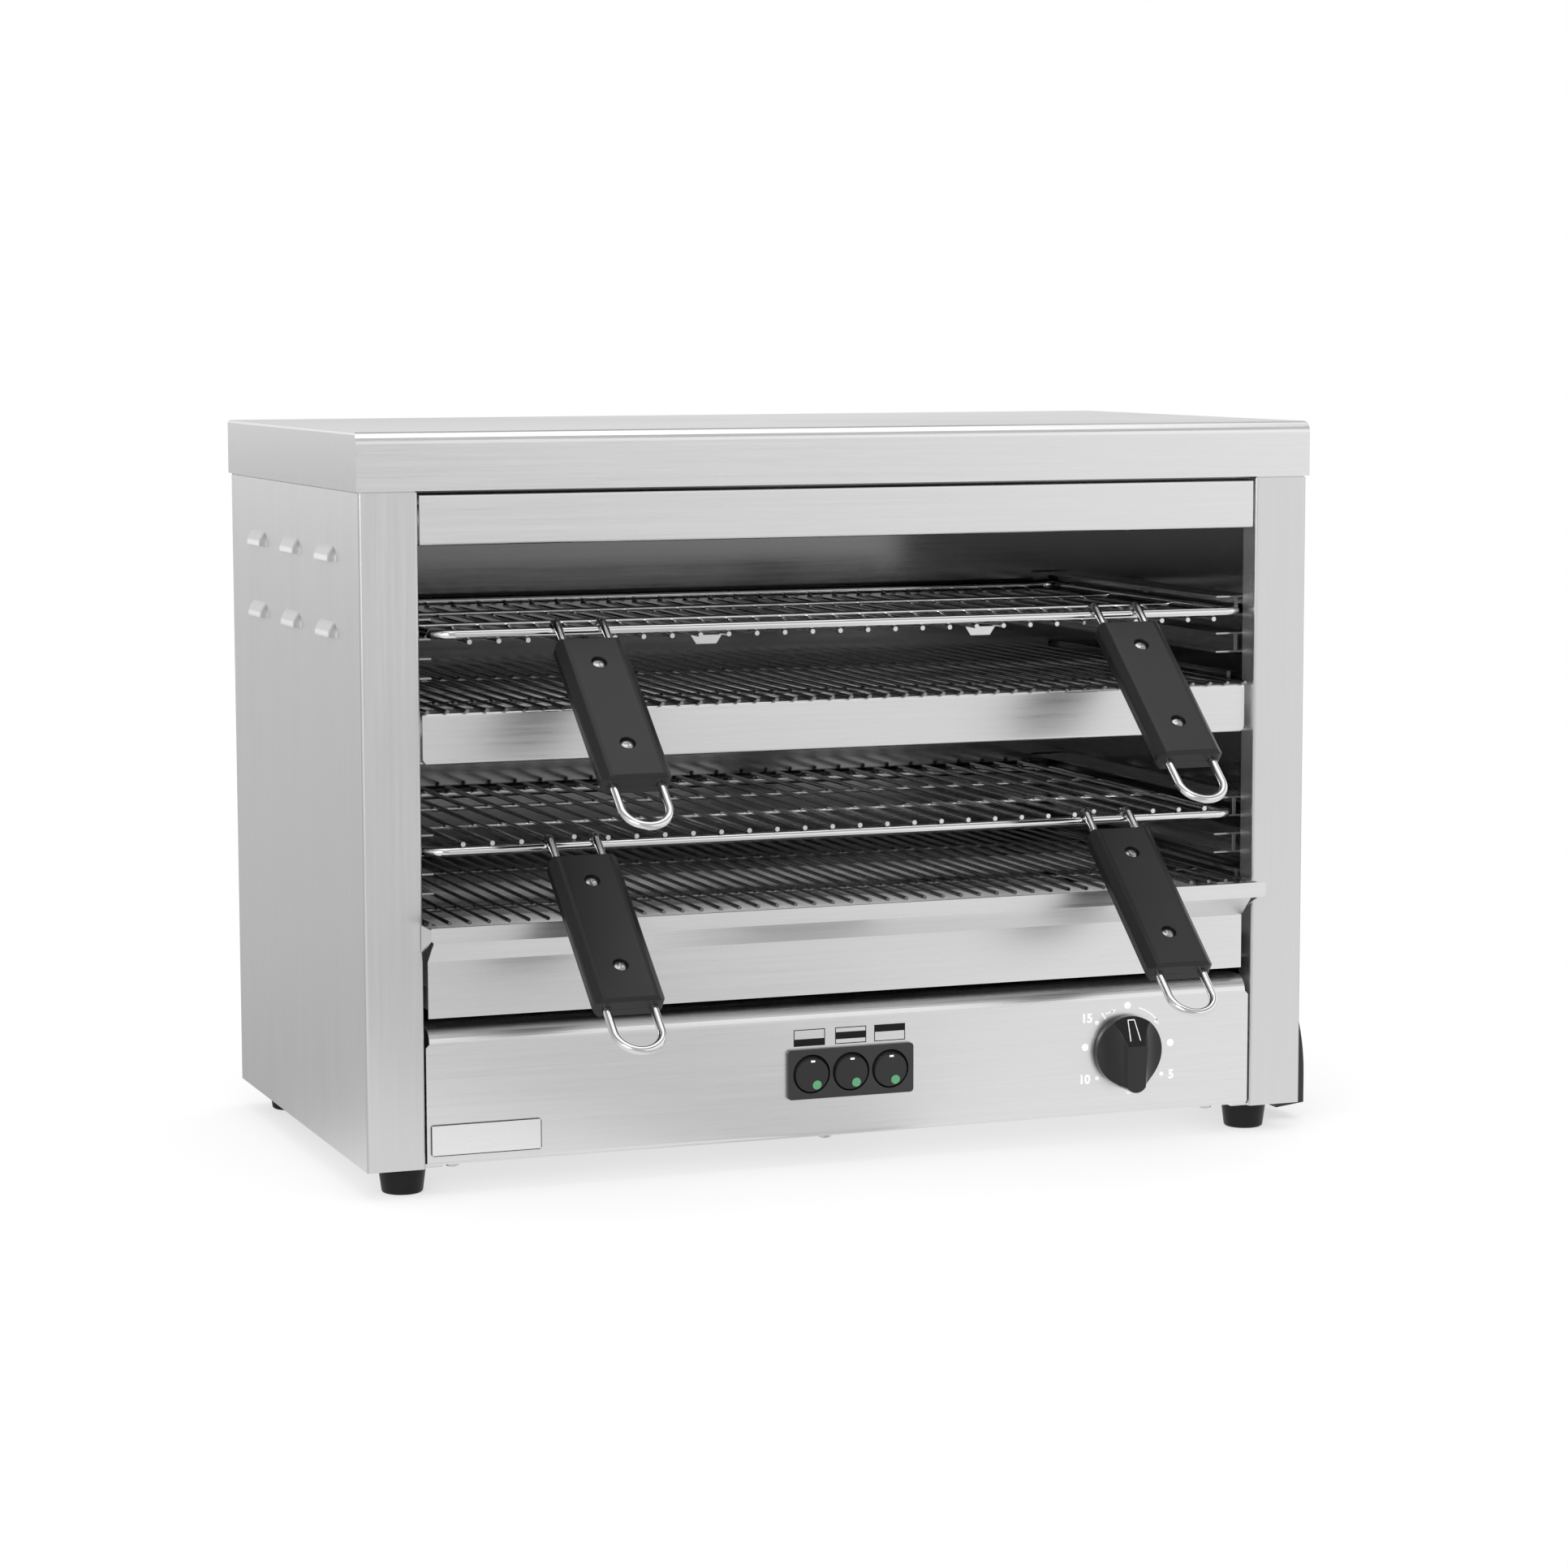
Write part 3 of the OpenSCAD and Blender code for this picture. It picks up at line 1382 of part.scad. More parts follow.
// The well of the lens in a rocker's face, two millimetres deep.
module lens_well(past) {
    translate([lens_x, 0, -lens_z]) along_y(-rocker_face - past, -rocker_face + 2) circle(d = lens_d);
}

module lens(x) {
    color([0.25, 0.62, 0.38]) placed() rocker_at(x) lens_well(0);
}

module left_rocker() {
    rocker(rocker_xs[0]);
}

module left_lens() {
    lens(rocker_xs[0]);
}

module middle_rocker() {
    rocker(rocker_xs[1]);
}

module middle_lens() {
    lens(rocker_xs[1]);
}

module right_rocker() {
    rocker(rocker_xs[2]);
}

module right_lens() {
    lens(rocker_xs[2]);
}

// ---- Timer ----

// The timer's own frame: z runs out of the front of the panel's inner face.
module timer_at() {
    translate([timer_x, front_recess + sheet, dial_z]) rotate([90, 0, 0]) children();
}

module timer_housing() {
    color("gainsboro") placed() timer_at() difference() {
        union() {
            translate([-timer_side / 2, -timer_side / 2, -timer_depth])
                cube([timer_side, timer_side, timer_depth]);
            translate([0, 0, -timer_depth - 8]) cylinder(d = timer_side * 0.8, h = 8);
            cylinder(d = bush_d, h = sheet + nut_h + 0.6);
        }
        translate([0, 0, -timer_depth + 4]) cylinder(d = shaft_d + 2 * shaft_gap, h = timer_depth + 8);
    }
}

module timer_nut() {
    color("silver") placed() timer_at() translate([0, 0, sheet]) difference() {
        cylinder(d = nut_af / cos(30), h = nut_h, $fn = 6);
        translate([0, 0, -1]) cylinder(d = bush_d + 2 * hole_gap, h = nut_h + 2);
    }
}

module timer_shaft() {
    shaft_in = timer_depth - 6;
    color("silver") placed() timer_at() translate([0, 0, -shaft_in])
        cylinder(d = shaft_d, h = shaft_in + sheet + knob_gap + knob_h - 3);
}

// The knob, drawn with z out of the panel and its pointer along +y, then turned to stand on the panel.
module timer_knob() {
    r = knob_d / 2;
    scoop_x = knob_bar_half + sqrt(scoop_r * scoop_r - pow(scoop_r - knob_h + knob_disc_h, 2));
    slope_end = r * (1 - 2 * pointer_share);
    nut_room = nut_af / cos(30) / 2 + 1;
    color(black) placed() timer_at() translate([0, 0, sheet + knob_gap]) difference() {
        union() {
            cylinder(d = knob_d, h = knob_h);
            translate([0, -r - knob_tail + knob_bar_half + 1, 0]) cylinder(r = knob_bar_half + 1, h = knob_h);
        }
        both_sides() translate([scoop_x, 0, knob_disc_h + scoop_r]) rotate([90, 0, 0])
            cylinder(r = scoop_r, h = 2 * knob_d, center = true, $fn = 96);
        both_sides() translate([scoop_x, -knob_d, knob_disc_h]) cube([knob_d, 2 * knob_d, knob_h]);
        along_x(knob_d) polygon([
            [slope_end, knob_h], [r + 1, knob_disc_h], [r + 1, knob_h + 1], [slope_end, knob_h + 1]
        ]);
        translate([0, 0, -1]) cylinder(r = nut_room, h = nut_h + 1.6);
        translate([0, 0, -1]) cylinder(d = shaft_d, h = knob_h - 2);
    }
}

lid();
left_side_panel();
right_side_panel();
rear_panel();
base_plate();
upper_fascia();
middle_fascia();
control_panel();
left_inner_wall();
right_inner_wall();
rear_inner_wall();
top_reflector();
deck_floor();
left_rails();
right_rails();
upper_guard();
lower_guard();
quartz_tubes();
heating_coils();
tube_end_caps();
switch_frame();
switch_terminals();
timer_housing();
timer_nut();
terminal_block();
wiring();
cable_hood();
cable_gland();
name_plate();
feet();
foot_screws();
panel_screws();
upper_rack_frame();
upper_rack_rods();
rack_stops();
upper_handle_wires();
upper_left_grip_top();
upper_left_grip_bottom();
upper_right_grip_top();
upper_right_grip_bottom();
upper_grip_screws();
lower_rack_frame();
lower_rack_rods();
lower_handle_wires();
lower_left_grip_top();
lower_left_grip_bottom();
lower_right_grip_top();
lower_right_grip_bottom();
lower_grip_screws();
crumb_tray_pan();
crumb_tray_front();
timer_shaft();
timer_knob();
left_rocker();
left_lens();
middle_rocker();
middle_lens();
right_rocker();
right_lens();
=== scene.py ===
"""Looks of the two-deck quartz toaster oven.

Materials, printed marks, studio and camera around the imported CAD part, in metres.
"""
import json
import math
import bmesh
import bpy
from mathutils import Matrix, Vector

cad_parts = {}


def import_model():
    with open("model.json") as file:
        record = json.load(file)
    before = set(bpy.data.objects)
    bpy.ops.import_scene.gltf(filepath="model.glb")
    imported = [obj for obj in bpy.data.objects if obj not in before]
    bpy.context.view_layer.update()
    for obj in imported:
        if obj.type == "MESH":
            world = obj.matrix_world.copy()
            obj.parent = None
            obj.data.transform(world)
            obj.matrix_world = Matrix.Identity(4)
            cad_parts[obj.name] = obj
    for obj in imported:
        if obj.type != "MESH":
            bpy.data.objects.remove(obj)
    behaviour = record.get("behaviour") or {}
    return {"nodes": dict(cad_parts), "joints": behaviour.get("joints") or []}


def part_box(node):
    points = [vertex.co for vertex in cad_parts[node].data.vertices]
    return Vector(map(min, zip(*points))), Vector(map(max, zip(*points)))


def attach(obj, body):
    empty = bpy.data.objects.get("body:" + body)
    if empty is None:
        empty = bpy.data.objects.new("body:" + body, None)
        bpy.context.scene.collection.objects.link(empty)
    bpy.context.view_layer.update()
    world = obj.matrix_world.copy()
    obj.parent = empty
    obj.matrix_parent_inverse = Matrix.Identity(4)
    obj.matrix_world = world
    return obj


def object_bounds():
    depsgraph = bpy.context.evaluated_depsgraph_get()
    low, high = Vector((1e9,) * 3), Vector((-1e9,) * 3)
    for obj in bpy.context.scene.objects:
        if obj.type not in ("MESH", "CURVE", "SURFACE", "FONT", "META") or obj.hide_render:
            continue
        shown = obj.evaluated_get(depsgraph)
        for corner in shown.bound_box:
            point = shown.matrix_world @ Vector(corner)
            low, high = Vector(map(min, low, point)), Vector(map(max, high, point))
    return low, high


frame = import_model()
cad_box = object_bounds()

MM = 0.001
scene = bpy.context.scene
nodes = frame["nodes"]


def centre(node):
    low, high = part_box(node)
    return (low + high) / 2


# ---------------------------------------------------------------- shader building blocks

def math_node(tree, operation, a, b):
    """A math node on sockets or plain numbers."""
    node = tree.nodes.new("ShaderNodeMath")
    node.operation = operation
    for socket, value in zip(node.inputs, (a, b)):
        if isinstance(value, bpy.types.NodeSocket):
            tree.links.new(value, socket)
        else:
            socket.default_value = value
    return node.outputs["Value"]


def map_node(tree, value, low, high, start, end, interpolation="LINEAR"):
    """Maps value from start..end to low..high, clamped."""
    node = tree.nodes.new("ShaderNodeMapRange")
    node.interpolation_type = interpolation
    for key, number in (("From Min", start), ("From Max", end), ("To Min", low), ("To Max", high)):
        node.inputs[key].default_value = number
    tree.links.new(value, node.inputs["Value"])
    return node.outputs["Result"]


class Shader:
    """A node material with one Principled shader and short ways to add nodes."""

    def __init__(self, name):
        self.material = bpy.data.materials.new(name)
        self.material.use_nodes = True
        self.tree = self.material.node_tree
        self.tree.nodes.clear()
        self.bsdf = self.tree.nodes.new("ShaderNodeBsdfPrincipled")
        output = self.tree.nodes.new("ShaderNodeOutputMaterial")
        self.link(self.bsdf.outputs["BSDF"], output.inputs["Surface"])
        self.coords = self.tree.nodes.new("ShaderNodeTexCoord").outputs["Object"]

    def link(self, a, b):
        self.tree.links.new(a, b)

    def set(self, **values):
        for key, value in values.items():
            socket = self.bsdf.inputs[key.replace("_", " ")]
            if isinstance(value, bpy.types.NodeSocket):
                self.link(value, socket)
            elif hasattr(value, "__len__"):
                socket.default_value = (*value, 1.0)
            else:
                socket.default_value = value

    def noise(self, scale, detail=2.0, stretch=(1, 1, 1), rough=0.5):
        mapping = self.tree.nodes.new("ShaderNodeMapping")
        mapping.inputs["Scale"].default_value = stretch
        self.link(self.coords, mapping.inputs["Vector"])
        noise = self.tree.nodes.new("ShaderNodeTexNoise")
        noise.inputs["Scale"].default_value = scale
        noise.inputs["Detail"].default_value = detail
        noise.inputs["Roughness"].default_value = rough
        self.link(mapping.outputs["Vector"], noise.inputs["Vector"])
        return noise.outputs["Fac"]

    def ramp(self, value, low, high, start=0.0, end=1.0):
        return map_node(self.tree, value, low, high, start, end)

    def math(self, operation, a, b):
        return math_node(self.tree, operation, a, b)

    def blend(self, factor, first, second):
        node = self.tree.nodes.new("ShaderNodeMix")
        node.data_type = "RGBA"
        self.link(factor, node.inputs["Factor"])
        for socket, value in ((node.inputs["A"], first), (node.inputs["B"], second)):
            if isinstance(value, bpy.types.NodeSocket):
                self.link(value, socket)
            else:
                socket.default_value = (*value, 1.0)
        return node.outputs["Result"]

    def geometry(self, output):
        """The X, Y and Z sockets of an output of the Geometry node, in world space."""
        split = self.tree.nodes.new("ShaderNodeSeparateXYZ")
        self.link(self.tree.nodes.new("ShaderNodeNewGeometry").outputs[output], split.inputs["Vector"])
        return split.outputs

    def facing_front(self):
        """1 on faces that look to the front, 0 elsewhere."""
        return self.ramp(self.geometry("Normal")["Y"], 1.0, 0.0, -0.9, -0.5)

    def facing_askew(self):
        """1 on faces that look neither straight to a side nor to the front.

        Those are louvres, bends, edges and whatever looks back, up or down.
        """
        normal = self.geometry("Normal")
        off_side = self.ramp(self.math("ABSOLUTE", normal["X"], 0.0), 1.0, 0.0, 0.95, 0.995)
        return self.math("MULTIPLY", off_side, self.ramp(normal["Y"], 0.0, 1.0, -0.98, -0.9))

    def bump(self, height, depth, strength=1.0, edge=0.0):
        """A bump of that depth in metres, over softened edges where edge is a radius."""
        node = self.tree.nodes.new("ShaderNodeBump")
        node.inputs["Strength"].default_value = strength
        node.inputs["Distance"].default_value = depth
        self.link(height, node.inputs["Height"])
        if edge:
            bevel = self.tree.nodes.new("ShaderNodeBevel")
            bevel.samples = 4
            bevel.inputs["Radius"].default_value = edge
            self.link(bevel.outputs["Normal"], node.inputs["Normal"])
        self.link(node.outputs["Normal"], self.bsdf.inputs["Normal"])
        return self


def grey(value, warm=0.0):
    """A grey, made warmer by a share of its value."""
    return (value * (1 + warm), value, value * (1 - warm))


# Noise is drawn out along the grain of brushed steel.
DRAWN_OUT = 0.012
AXES = {"x": (DRAWN_OUT, 1, 1), "y": (1, DRAWN_OUT, 1), "z": (1, 1, DRAWN_OUT)}
# Axis round which the tangent turns, for a grain that the shader stretches highlights across.
TANGENT_AXIS = {"x": "Z", "y": "X"}
# Painted shade on the side sheets' askew faces: their tone, as shares of their dark and light streaks.
ASKEW_SHADE_DARK, ASKEW_SHADE_LIGHT = 0.62, 0.68


def brushed(name, grain, light=0.82, dark=0.72, rough=0.3, edge=0.0, streaks=1.0, anisotropy=0.5, front=1.0):
    """Brushed stainless sheet with its grain along one axis.

    Where front isn't 1, it scales the tone of front faces, and askew faces are toned down as well, both as
    painted shade.
    """
    s = Shader(name)
    fine = s.noise(2600, 3.0, AXES[grain], 0.7)
    broad = s.noise(420, 2.0, AXES[grain], 0.6)
    cloud = s.noise(7, 2.0)
    mix = s.math("ADD", s.math("MULTIPLY", fine, 0.6 * streaks), s.math("MULTIPLY", broad, 0.4 * streaks))
    tone = s.ramp(mix, 0.0, 1.0, 0.3 * streaks, 0.7 * streaks)
    clouded = s.math("ADD", s.math("MULTIPLY", tone, 0.75), s.math("MULTIPLY", cloud, 0.25))
    colour = s.blend(clouded, grey(dark), grey(light))
    # Painted shade: front faces darker by front, and askew faces, such as louvres and bends, darker still.
    if front != 1.0:
        shaded_front = s.blend(clouded, grey(dark * front), grey(light * front))
        askew = s.blend(clouded, grey(dark * ASKEW_SHADE_DARK), grey(light * ASKEW_SHADE_LIGHT))
        colour = s.blend(s.facing_askew(), s.blend(s.facing_front(), colour, shaded_front), askew)
    s.set(
        Metallic=1.0,
        Base_Color=colour,
        Roughness=s.ramp(tone, rough - 0.05, rough + 0.06),
        Anisotropic=anisotropy,
    )
    if grain in TANGENT_AXIS:
        tangent = s.tree.nodes.new("ShaderNodeTangent")
        tangent.direction_type = "RADIAL"
        tangent.axis = TANGENT_AXIS[grain]
        s.link(tangent.outputs["Tangent"], s.bsdf.inputs["Tangent"])
    return s.bump(mix, 0.00002, 0.25, edge).material


def moulded(name, base, rough, grain_scale=900, depth=0.00005, edge=0.0003, spec=0.5):
    """Moulded plastic or rubber with a fine spark-eroded texture."""
    s = Shader(name)
    pits = s.noise(grain_scale, 2.0)
    wear = s.noise(25, 3.0)
    s.set(
        Base_Color=s.blend(wear, grey(base * 0.82), grey(base * 1.18)),
        Roughness=s.ramp(wear, rough - 0.05, rough + 0.07),
        Specular_IOR_Level=spec,
    )
    return s.bump(pits, depth, 0.35, edge).material


def wire_metal(name, base, rough, edge=0.0, tint=0.0, grain=0.2):
    """Bright drawn or plated metal with faint cloudiness."""
    s = Shader(name)
    cloud = s.noise(60, 3.0)
    s.set(
        Metallic=1.0,
        Base_Color=s.blend(cloud, grey(base * 0.88, tint), grey(base, tint)),
        Roughness=s.ramp(cloud, rough - 0.03, rough + 0.05),
    )
    if not grain:
        return s.material
    return s.bump(s.noise(1800, 2.0), 0.00001, grain, edge).material


# ---------------------------------------------------------------- materials of the CAD nodes

front_steel = brushed("front_steel", "x")
# Side sheets lighter than the front steel as painted light, with painted shade on their front and askew faces.
side_steel = brushed("side_steel", "z", light=0.95, dark=0.88, rough=0.34, front=0.76)
back_steel = brushed("back_steel", "x", light=0.56, dark=0.47, rough=0.36)
# Cavity walls dark partly as heat-tinted steel, partly as painted shade inside the cavity.
cavity_steel = brushed("cavity_steel_look", "x", light=0.22, dark=0.16, rough=0.12, anisotropy=0.2)
rail_steel = brushed("rail_steel", "y", light=0.5, dark=0.38, rough=0.22, edge=0.0003, anisotropy=0.2)
# Guard wires dark as painted shade inside the cavity.
guard_wire = wire_metal("guard_wire", 0.3, 0.18, grain=0)
rack_wire = wire_metal("rack_wire", 0.74, 0.1, grain=0)
screw_metal = wire_metal("screw_metal", 0.6, 0.25, edge=0.0002)
terminal_metal = wire_metal("terminal_metal_look", 0.62, 0.3, tint=0.06)
grip_plastic = moulded("grip_plastic_look", 0.008, 0.38, edge=0.0009, spec=0.36)
knob_plastic = moulded("knob_plastic", 0.005, 0.2, 1400, 0.00001, 0.0005)
frame_plastic = moulded("frame_plastic", 0.02, 0.34, 1400, 0.00002, 0.0003)
rocker_plastic = moulded("rocker_plastic", 0.012, 0.34, 1600, 0.00001, 0.0003)
hood_plastic = moulded("hood_plastic", 0.015, 0.38, 700, 0.00004, 0.0006)
foot_rubber = moulded("foot_rubber_look", 0.008, 0.42, 500, 0.00006, 0.0005, 0.2)
terminal_plastic = moulded("terminal_plastic_look", 0.6, 0.4)


def quartz():
    """Milky quartz glass, as a bright coated shell."""
    s = Shader("quartz_look")
    milk = s.noise(90, 3.0, (0.15, 1, 1))
    s.set(
        Base_Color=s.blend(milk, (0.9, 0.9, 0.9), (0.96, 0.96, 0.96)),
        Roughness=s.ramp(milk, 0.1, 0.2),
        IOR=1.6,
        Coat_Weight=0.5,
    )
    return s.bump(milk, 0.00005, 0.3).material


def coil():
    """Close turns of resistance wire, as ridges along the tube, darker in the troughs between the turns as
    painted shade.
    """
    s = Shader("coil_look")
    wave = s.tree.nodes.new("ShaderNodeTexWave")
    wave.bands_direction = "X"
    wave.inputs["Scale"].default_value = 320
    s.link(s.coords, wave.inputs["Vector"])
    # Painted shade in the troughs between the turns, light on their crests.
    s.set(
        Metallic=0.8,
        Base_Color=s.blend(wave.outputs["Fac"], (0.05, 0.045, 0.04), (0.3, 0.27, 0.25)),
        Roughness=0.5,
    )
    return s.bump(wave.outputs["Fac"], 0.0004, 0.8).material


def ceramic():
    """Unglazed off-white ceramic."""
    s = Shader("ceramic_look")
    grain = s.noise(500, 4.0)
    s.set(
        Base_Color=s.blend(grain, (0.66, 0.62, 0.54), (0.78, 0.75, 0.68)),
        Roughness=s.ramp(grain, 0.55, 0.75),
    )
    return s.bump(grain, 0.0001, 0.3, 0.0003).material


def sleeve():
    """Woven dark red heatproof sleeve."""
    s = Shader("sleeve_look")
    weave = s.noise(1500, 1.0, (1, 0.4, 1))
    s.set(Base_Color=s.blend(weave, (0.22, 0.05, 0.035), (0.36, 0.09, 0.06)), Roughness=0.55)
    return s.bump(weave, 0.0001, 0.4).material


def green_lens():
    """A green lens with fine facets."""
    s = Shader("green_lens_look")
    facets = s.noise(1400, 1.0)
    s.set(
        Base_Color=s.blend(facets, (0.05, 0.24, 0.1), (0.13, 0.4, 0.2)),
        Roughness=0.2,
        Coat_Weight=0.3,
        Coat_Roughness=0.1,
    )
    return s.bump(facets, 0.0001, 0.4).material


# Width of the dark rim round the plate's face, standing for the plate's dark edge together with a painted shadow
# round it.
PLATE_RIM = 0.45 * MM


def plate_look():
    """The blank plate: a bright face with a dark rim and dark edges, partly its own dark edge and partly a
    painted shadow round it.
    """
    s = Shader("plate_look")
    low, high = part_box("name_plate")
    position = s.geometry("Position")
    face = s.facing_front()
    for axis in ("X", "Z"):
        start, end = getattr(low, axis.lower()), getattr(high, axis.lower())
        off = s.math("ABSOLUTE", s.math("SUBTRACT", position[axis], (start + end) / 2), 0.0)
        face = s.math("MULTIPLY", face, s.math("LESS_THAN", off, (end - start) / 2 - PLATE_RIM))
    fine = s.noise(2600, 3.0, AXES["x"], 0.7)
    # Dark rim and edges: the plate's dark edge together with painted shadow.
    s.set(
        Metallic=1.0,
        Base_Color=s.blend(face, grey(0.05), s.blend(fine, grey(0.8), grey(0.92))),
        Roughness=s.ramp(fine, 0.22, 0.32),
    )
    return s.bump(fine, 0.00002, 0.2).material


# Every look with the CAD nodes that have it.
LOOKS = {
    front_steel: "lid upper_fascia middle_fascia control_panel crumb_tray_front base_plate",
    side_steel: "left_side_panel right_side_panel",
    back_steel: "rear_panel crumb_tray_pan",
    cavity_steel: "left_inner_wall right_inner_wall rear_inner_wall top_reflector deck_floor",
    rail_steel: "left_rails right_rails",
    guard_wire: "upper_guard lower_guard",
    rack_wire: "upper_rack_frame upper_rack_rods rack_stops upper_handle_wires "
               "lower_rack_frame lower_rack_rods lower_handle_wires",
    screw_metal: "panel_screws foot_screws upper_grip_screws lower_grip_screws",
    terminal_metal: "switch_terminals timer_nut timer_shaft timer_housing",
    grip_plastic: " ".join(
        f"{level}_{side}_grip_{half}"
        for level in ("upper", "lower") for side in ("left", "right") for half in ("top", "bottom")
    ),
    knob_plastic: "timer_knob",
    frame_plastic: "switch_frame",
    rocker_plastic: "left_rocker middle_rocker right_rocker",
    hood_plastic: "cable_hood cable_gland",
    foot_rubber: "feet",
    terminal_plastic: "terminal_block",
    quartz(): "quartz_tubes",
    coil(): "heating_coils",
    ceramic(): "tube_end_caps",
    sleeve(): "wiring",
    green_lens(): "left_lens middle_lens right_lens",
    plate_look(): "name_plate",
}

dressed = set()
for look, names in LOOKS.items():
    for name in names.split():
        mesh = nodes[name].data
        mesh.materials.clear()
        mesh.materials.append(look)
        dressed.add(name)
missing = set(nodes) - dressed
if missing:
    raise RuntimeError(f"nodes without a look: {sorted(missing)}")


# ---------------------------------------------------------------- printed marks

def ink(name, colour, rough=0.45, spec=0.5):
    """Screen-printed ink, slightly uneven."""
    s = Shader(name)
    cover = s.noise(1200, 2.0)
    s.set(
        Base_Color=s.blend(cover, tuple(0.95 * c for c in colour), colour),
        Roughness=s.ramp(cover, rough - 0.05, rough + 0.1),
        Specular_IOR_Level=spec,
    )
    return s.bump(cover, 0.00002, 0.2).material


# Thickness of a print, and how far of it lies in the face under it.
INK_T = 0.06 * MM
INK_SUNK = 0.02 * MM
# White serves for the print and for the painted highlight on the knob.
white_print_and_highlight = ink("white_print_and_highlight", (0.99, 0.99, 0.99))
black_ink = ink("black_ink", (0.008, 0.008, 0.008), spec=0.15)


def print_piece(name, outlines, matrix, material, body):
    """Flat printed shapes: outlines in millimetres, (x, z) as seen on the face, laid on it by matrix."""
    bm = bmesh.new()
    for outline in outlines:
        low = [bm.verts.new((x * MM, INK_SUNK, z * MM)) for x, z in outline]
        high = [bm.verts.new((x * MM, INK_SUNK - INK_T, z * MM)) for x, z in outline]
        bm.faces.new(high)
        bm.faces.new(list(reversed(low)))
        count = len(outline)
        for i in range(count):
            j = (i + 1) % count
            bm.faces.new((low[i], low[j], high[j], high[i]))
    bmesh.ops.recalc_face_normals(bm, faces=bm.faces)
    mesh = bpy.data.meshes.new(name)
    bm.to_mesh(mesh)
    bm.free()
    mesh.transform(matrix)
    mesh.materials.append(material)
    piece = bpy.data.objects.new(name, mesh)
    scene.collection.objects.link(piece)
    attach(piece, body)


def disc(x, z, radius, steps=28):
    """A round dot."""
    turns = [2 * math.pi * k / steps for k in range(steps)]
    return [(x + radius * math.cos(a), z + radius * math.sin(a)) for a in turns]


def bar(x0, z0, x1, z1):
    """A rectangle between two corners."""
    return [(x0, z0), (x1, z0), (x1, z1), (x0, z1)]


def stroke(points, width):
    """A line of that width through the points, as one outline."""
    left, right = [], []
    for i, (x, z) in enumerate(points):
        before, after = points[max(i - 1, 0)], points[min(i + 1, len(points) - 1)]
        dx, dz = after[0] - before[0], after[1] - before[1]
        length = math.hypot(dx, dz)
        nx, nz = -dz / length * width / 2, dx / length * width / 2
        left.append((x + nx, z + nz))
        right.append((x - nx, z - nz))
    return left + list(reversed(right))


def arrow_head(tip, heading, length, width):
    """A filled head at tip, pointing along heading in degrees."""
    c, s = math.cos(math.radians(heading)), math.sin(math.radians(heading))
    back = (tip[0] - length * c, tip[1] - length * s)
    aside = (s * width / 2, c * width / 2)
    return [tip, (back[0] - aside[0], back[1] + aside[1]), (back[0] + aside[0], back[1] - aside[1])]


panel_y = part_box("control_panel")[0].y
frame_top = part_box("switch_frame")[1].z

# Small pictures above the rockers, in millimetres: a frame with a band at the heaters that the rocker switches.
ICON_W, ICON_H, ICON_LINE = 17.6, 8.9, 0.46
ICON_UP = 1.5
ICONS = {  # how far each stands to the right of its rocker, and its band as shares of the height
    "left": (-0.6, 0.0, 0.43),
    "middle": (0.5, 0.29, 0.71),
    "right": (0.4, 0.57, 1.0),
}
for place, (shift, start, end) in ICONS.items():
    at = Matrix.Translation((centre(f"{place}_rocker").x + shift * MM, panel_y, frame_top + ICON_UP * MM))
    half, line = ICON_W / 2, ICON_LINE
    shapes = [
        bar(-half, 0, half, line), bar(-half, ICON_H - line, half, ICON_H),
        bar(-half, line, line - half, ICON_H - line), bar(half - line, line, half, ICON_H - line),
        bar(line - half, max(start * ICON_H, line), half - line, min(end * ICON_H, ICON_H - line)),
    ]
    print_piece(f"{place}_heater_icon", shapes, at, black_ink, "cabinet")

# The dial's marks, in millimetres from the shaft: dots, a tick at rest, and an arrow each way round.
shaft = centre("timer_shaft")
dial_at = Matrix.Translation((shaft.x, panel_y, shaft.z))
BIG_DOT, SMALL_DOT = 2.0, 1.2
BIG_DOTS = ((0.6, 24.3), (26.2, 2.4), (1.8, -22.4), (-24.4, 3.0))
SMALL_DOTS = ((21.0, -14.4), (-17.3, -14.4), (-17.6, 16.0))
TICK_AT, TICK_IN, TICK_OUT, TICK_LINE = 325, 21.6, 25.8, 1.0
ARROW_LINE, ARROW_HEAD = 0.8, 3.2
ARROW_RADIUS = 23.8


def on_dial(clockwise, radius):
    """The point at an angle clockwise from the top, in degrees."""
    a = math.radians(clockwise)
    return radius * math.sin(a), radius * math.cos(a)


marks = [disc(*at, BIG_DOT) for at in BIG_DOTS]
marks += [disc(*at, SMALL_DOT) for at in SMALL_DOTS]
marks.append(stroke([on_dial(TICK_AT, TICK_IN), on_dial(TICK_AT, TICK_OUT)], TICK_LINE))
marks.append(stroke([(-12.6, 20.5), (-8.4, 21.7)], ARROW_LINE))
marks.append(arrow_head((-5.9, 22.5), 17, ARROW_HEAD, 2.4))
marks.append(stroke([on_dial(a, ARROW_RADIUS) for a in range(18, 51, 4)], ARROW_LINE))
marks.append(arrow_head(on_dial(56, 23.2), -47, ARROW_HEAD, 2.6))
print_piece("dial_marks", marks, dial_at, white_print_and_highlight, "cabinet")

# A digit's height as a share of the font's size, and how much its strokes are thickened.
DIGIT_SHARE = 0.72
NUMERAL_H = 4.9
NUMERAL_BOLD = 0.00022


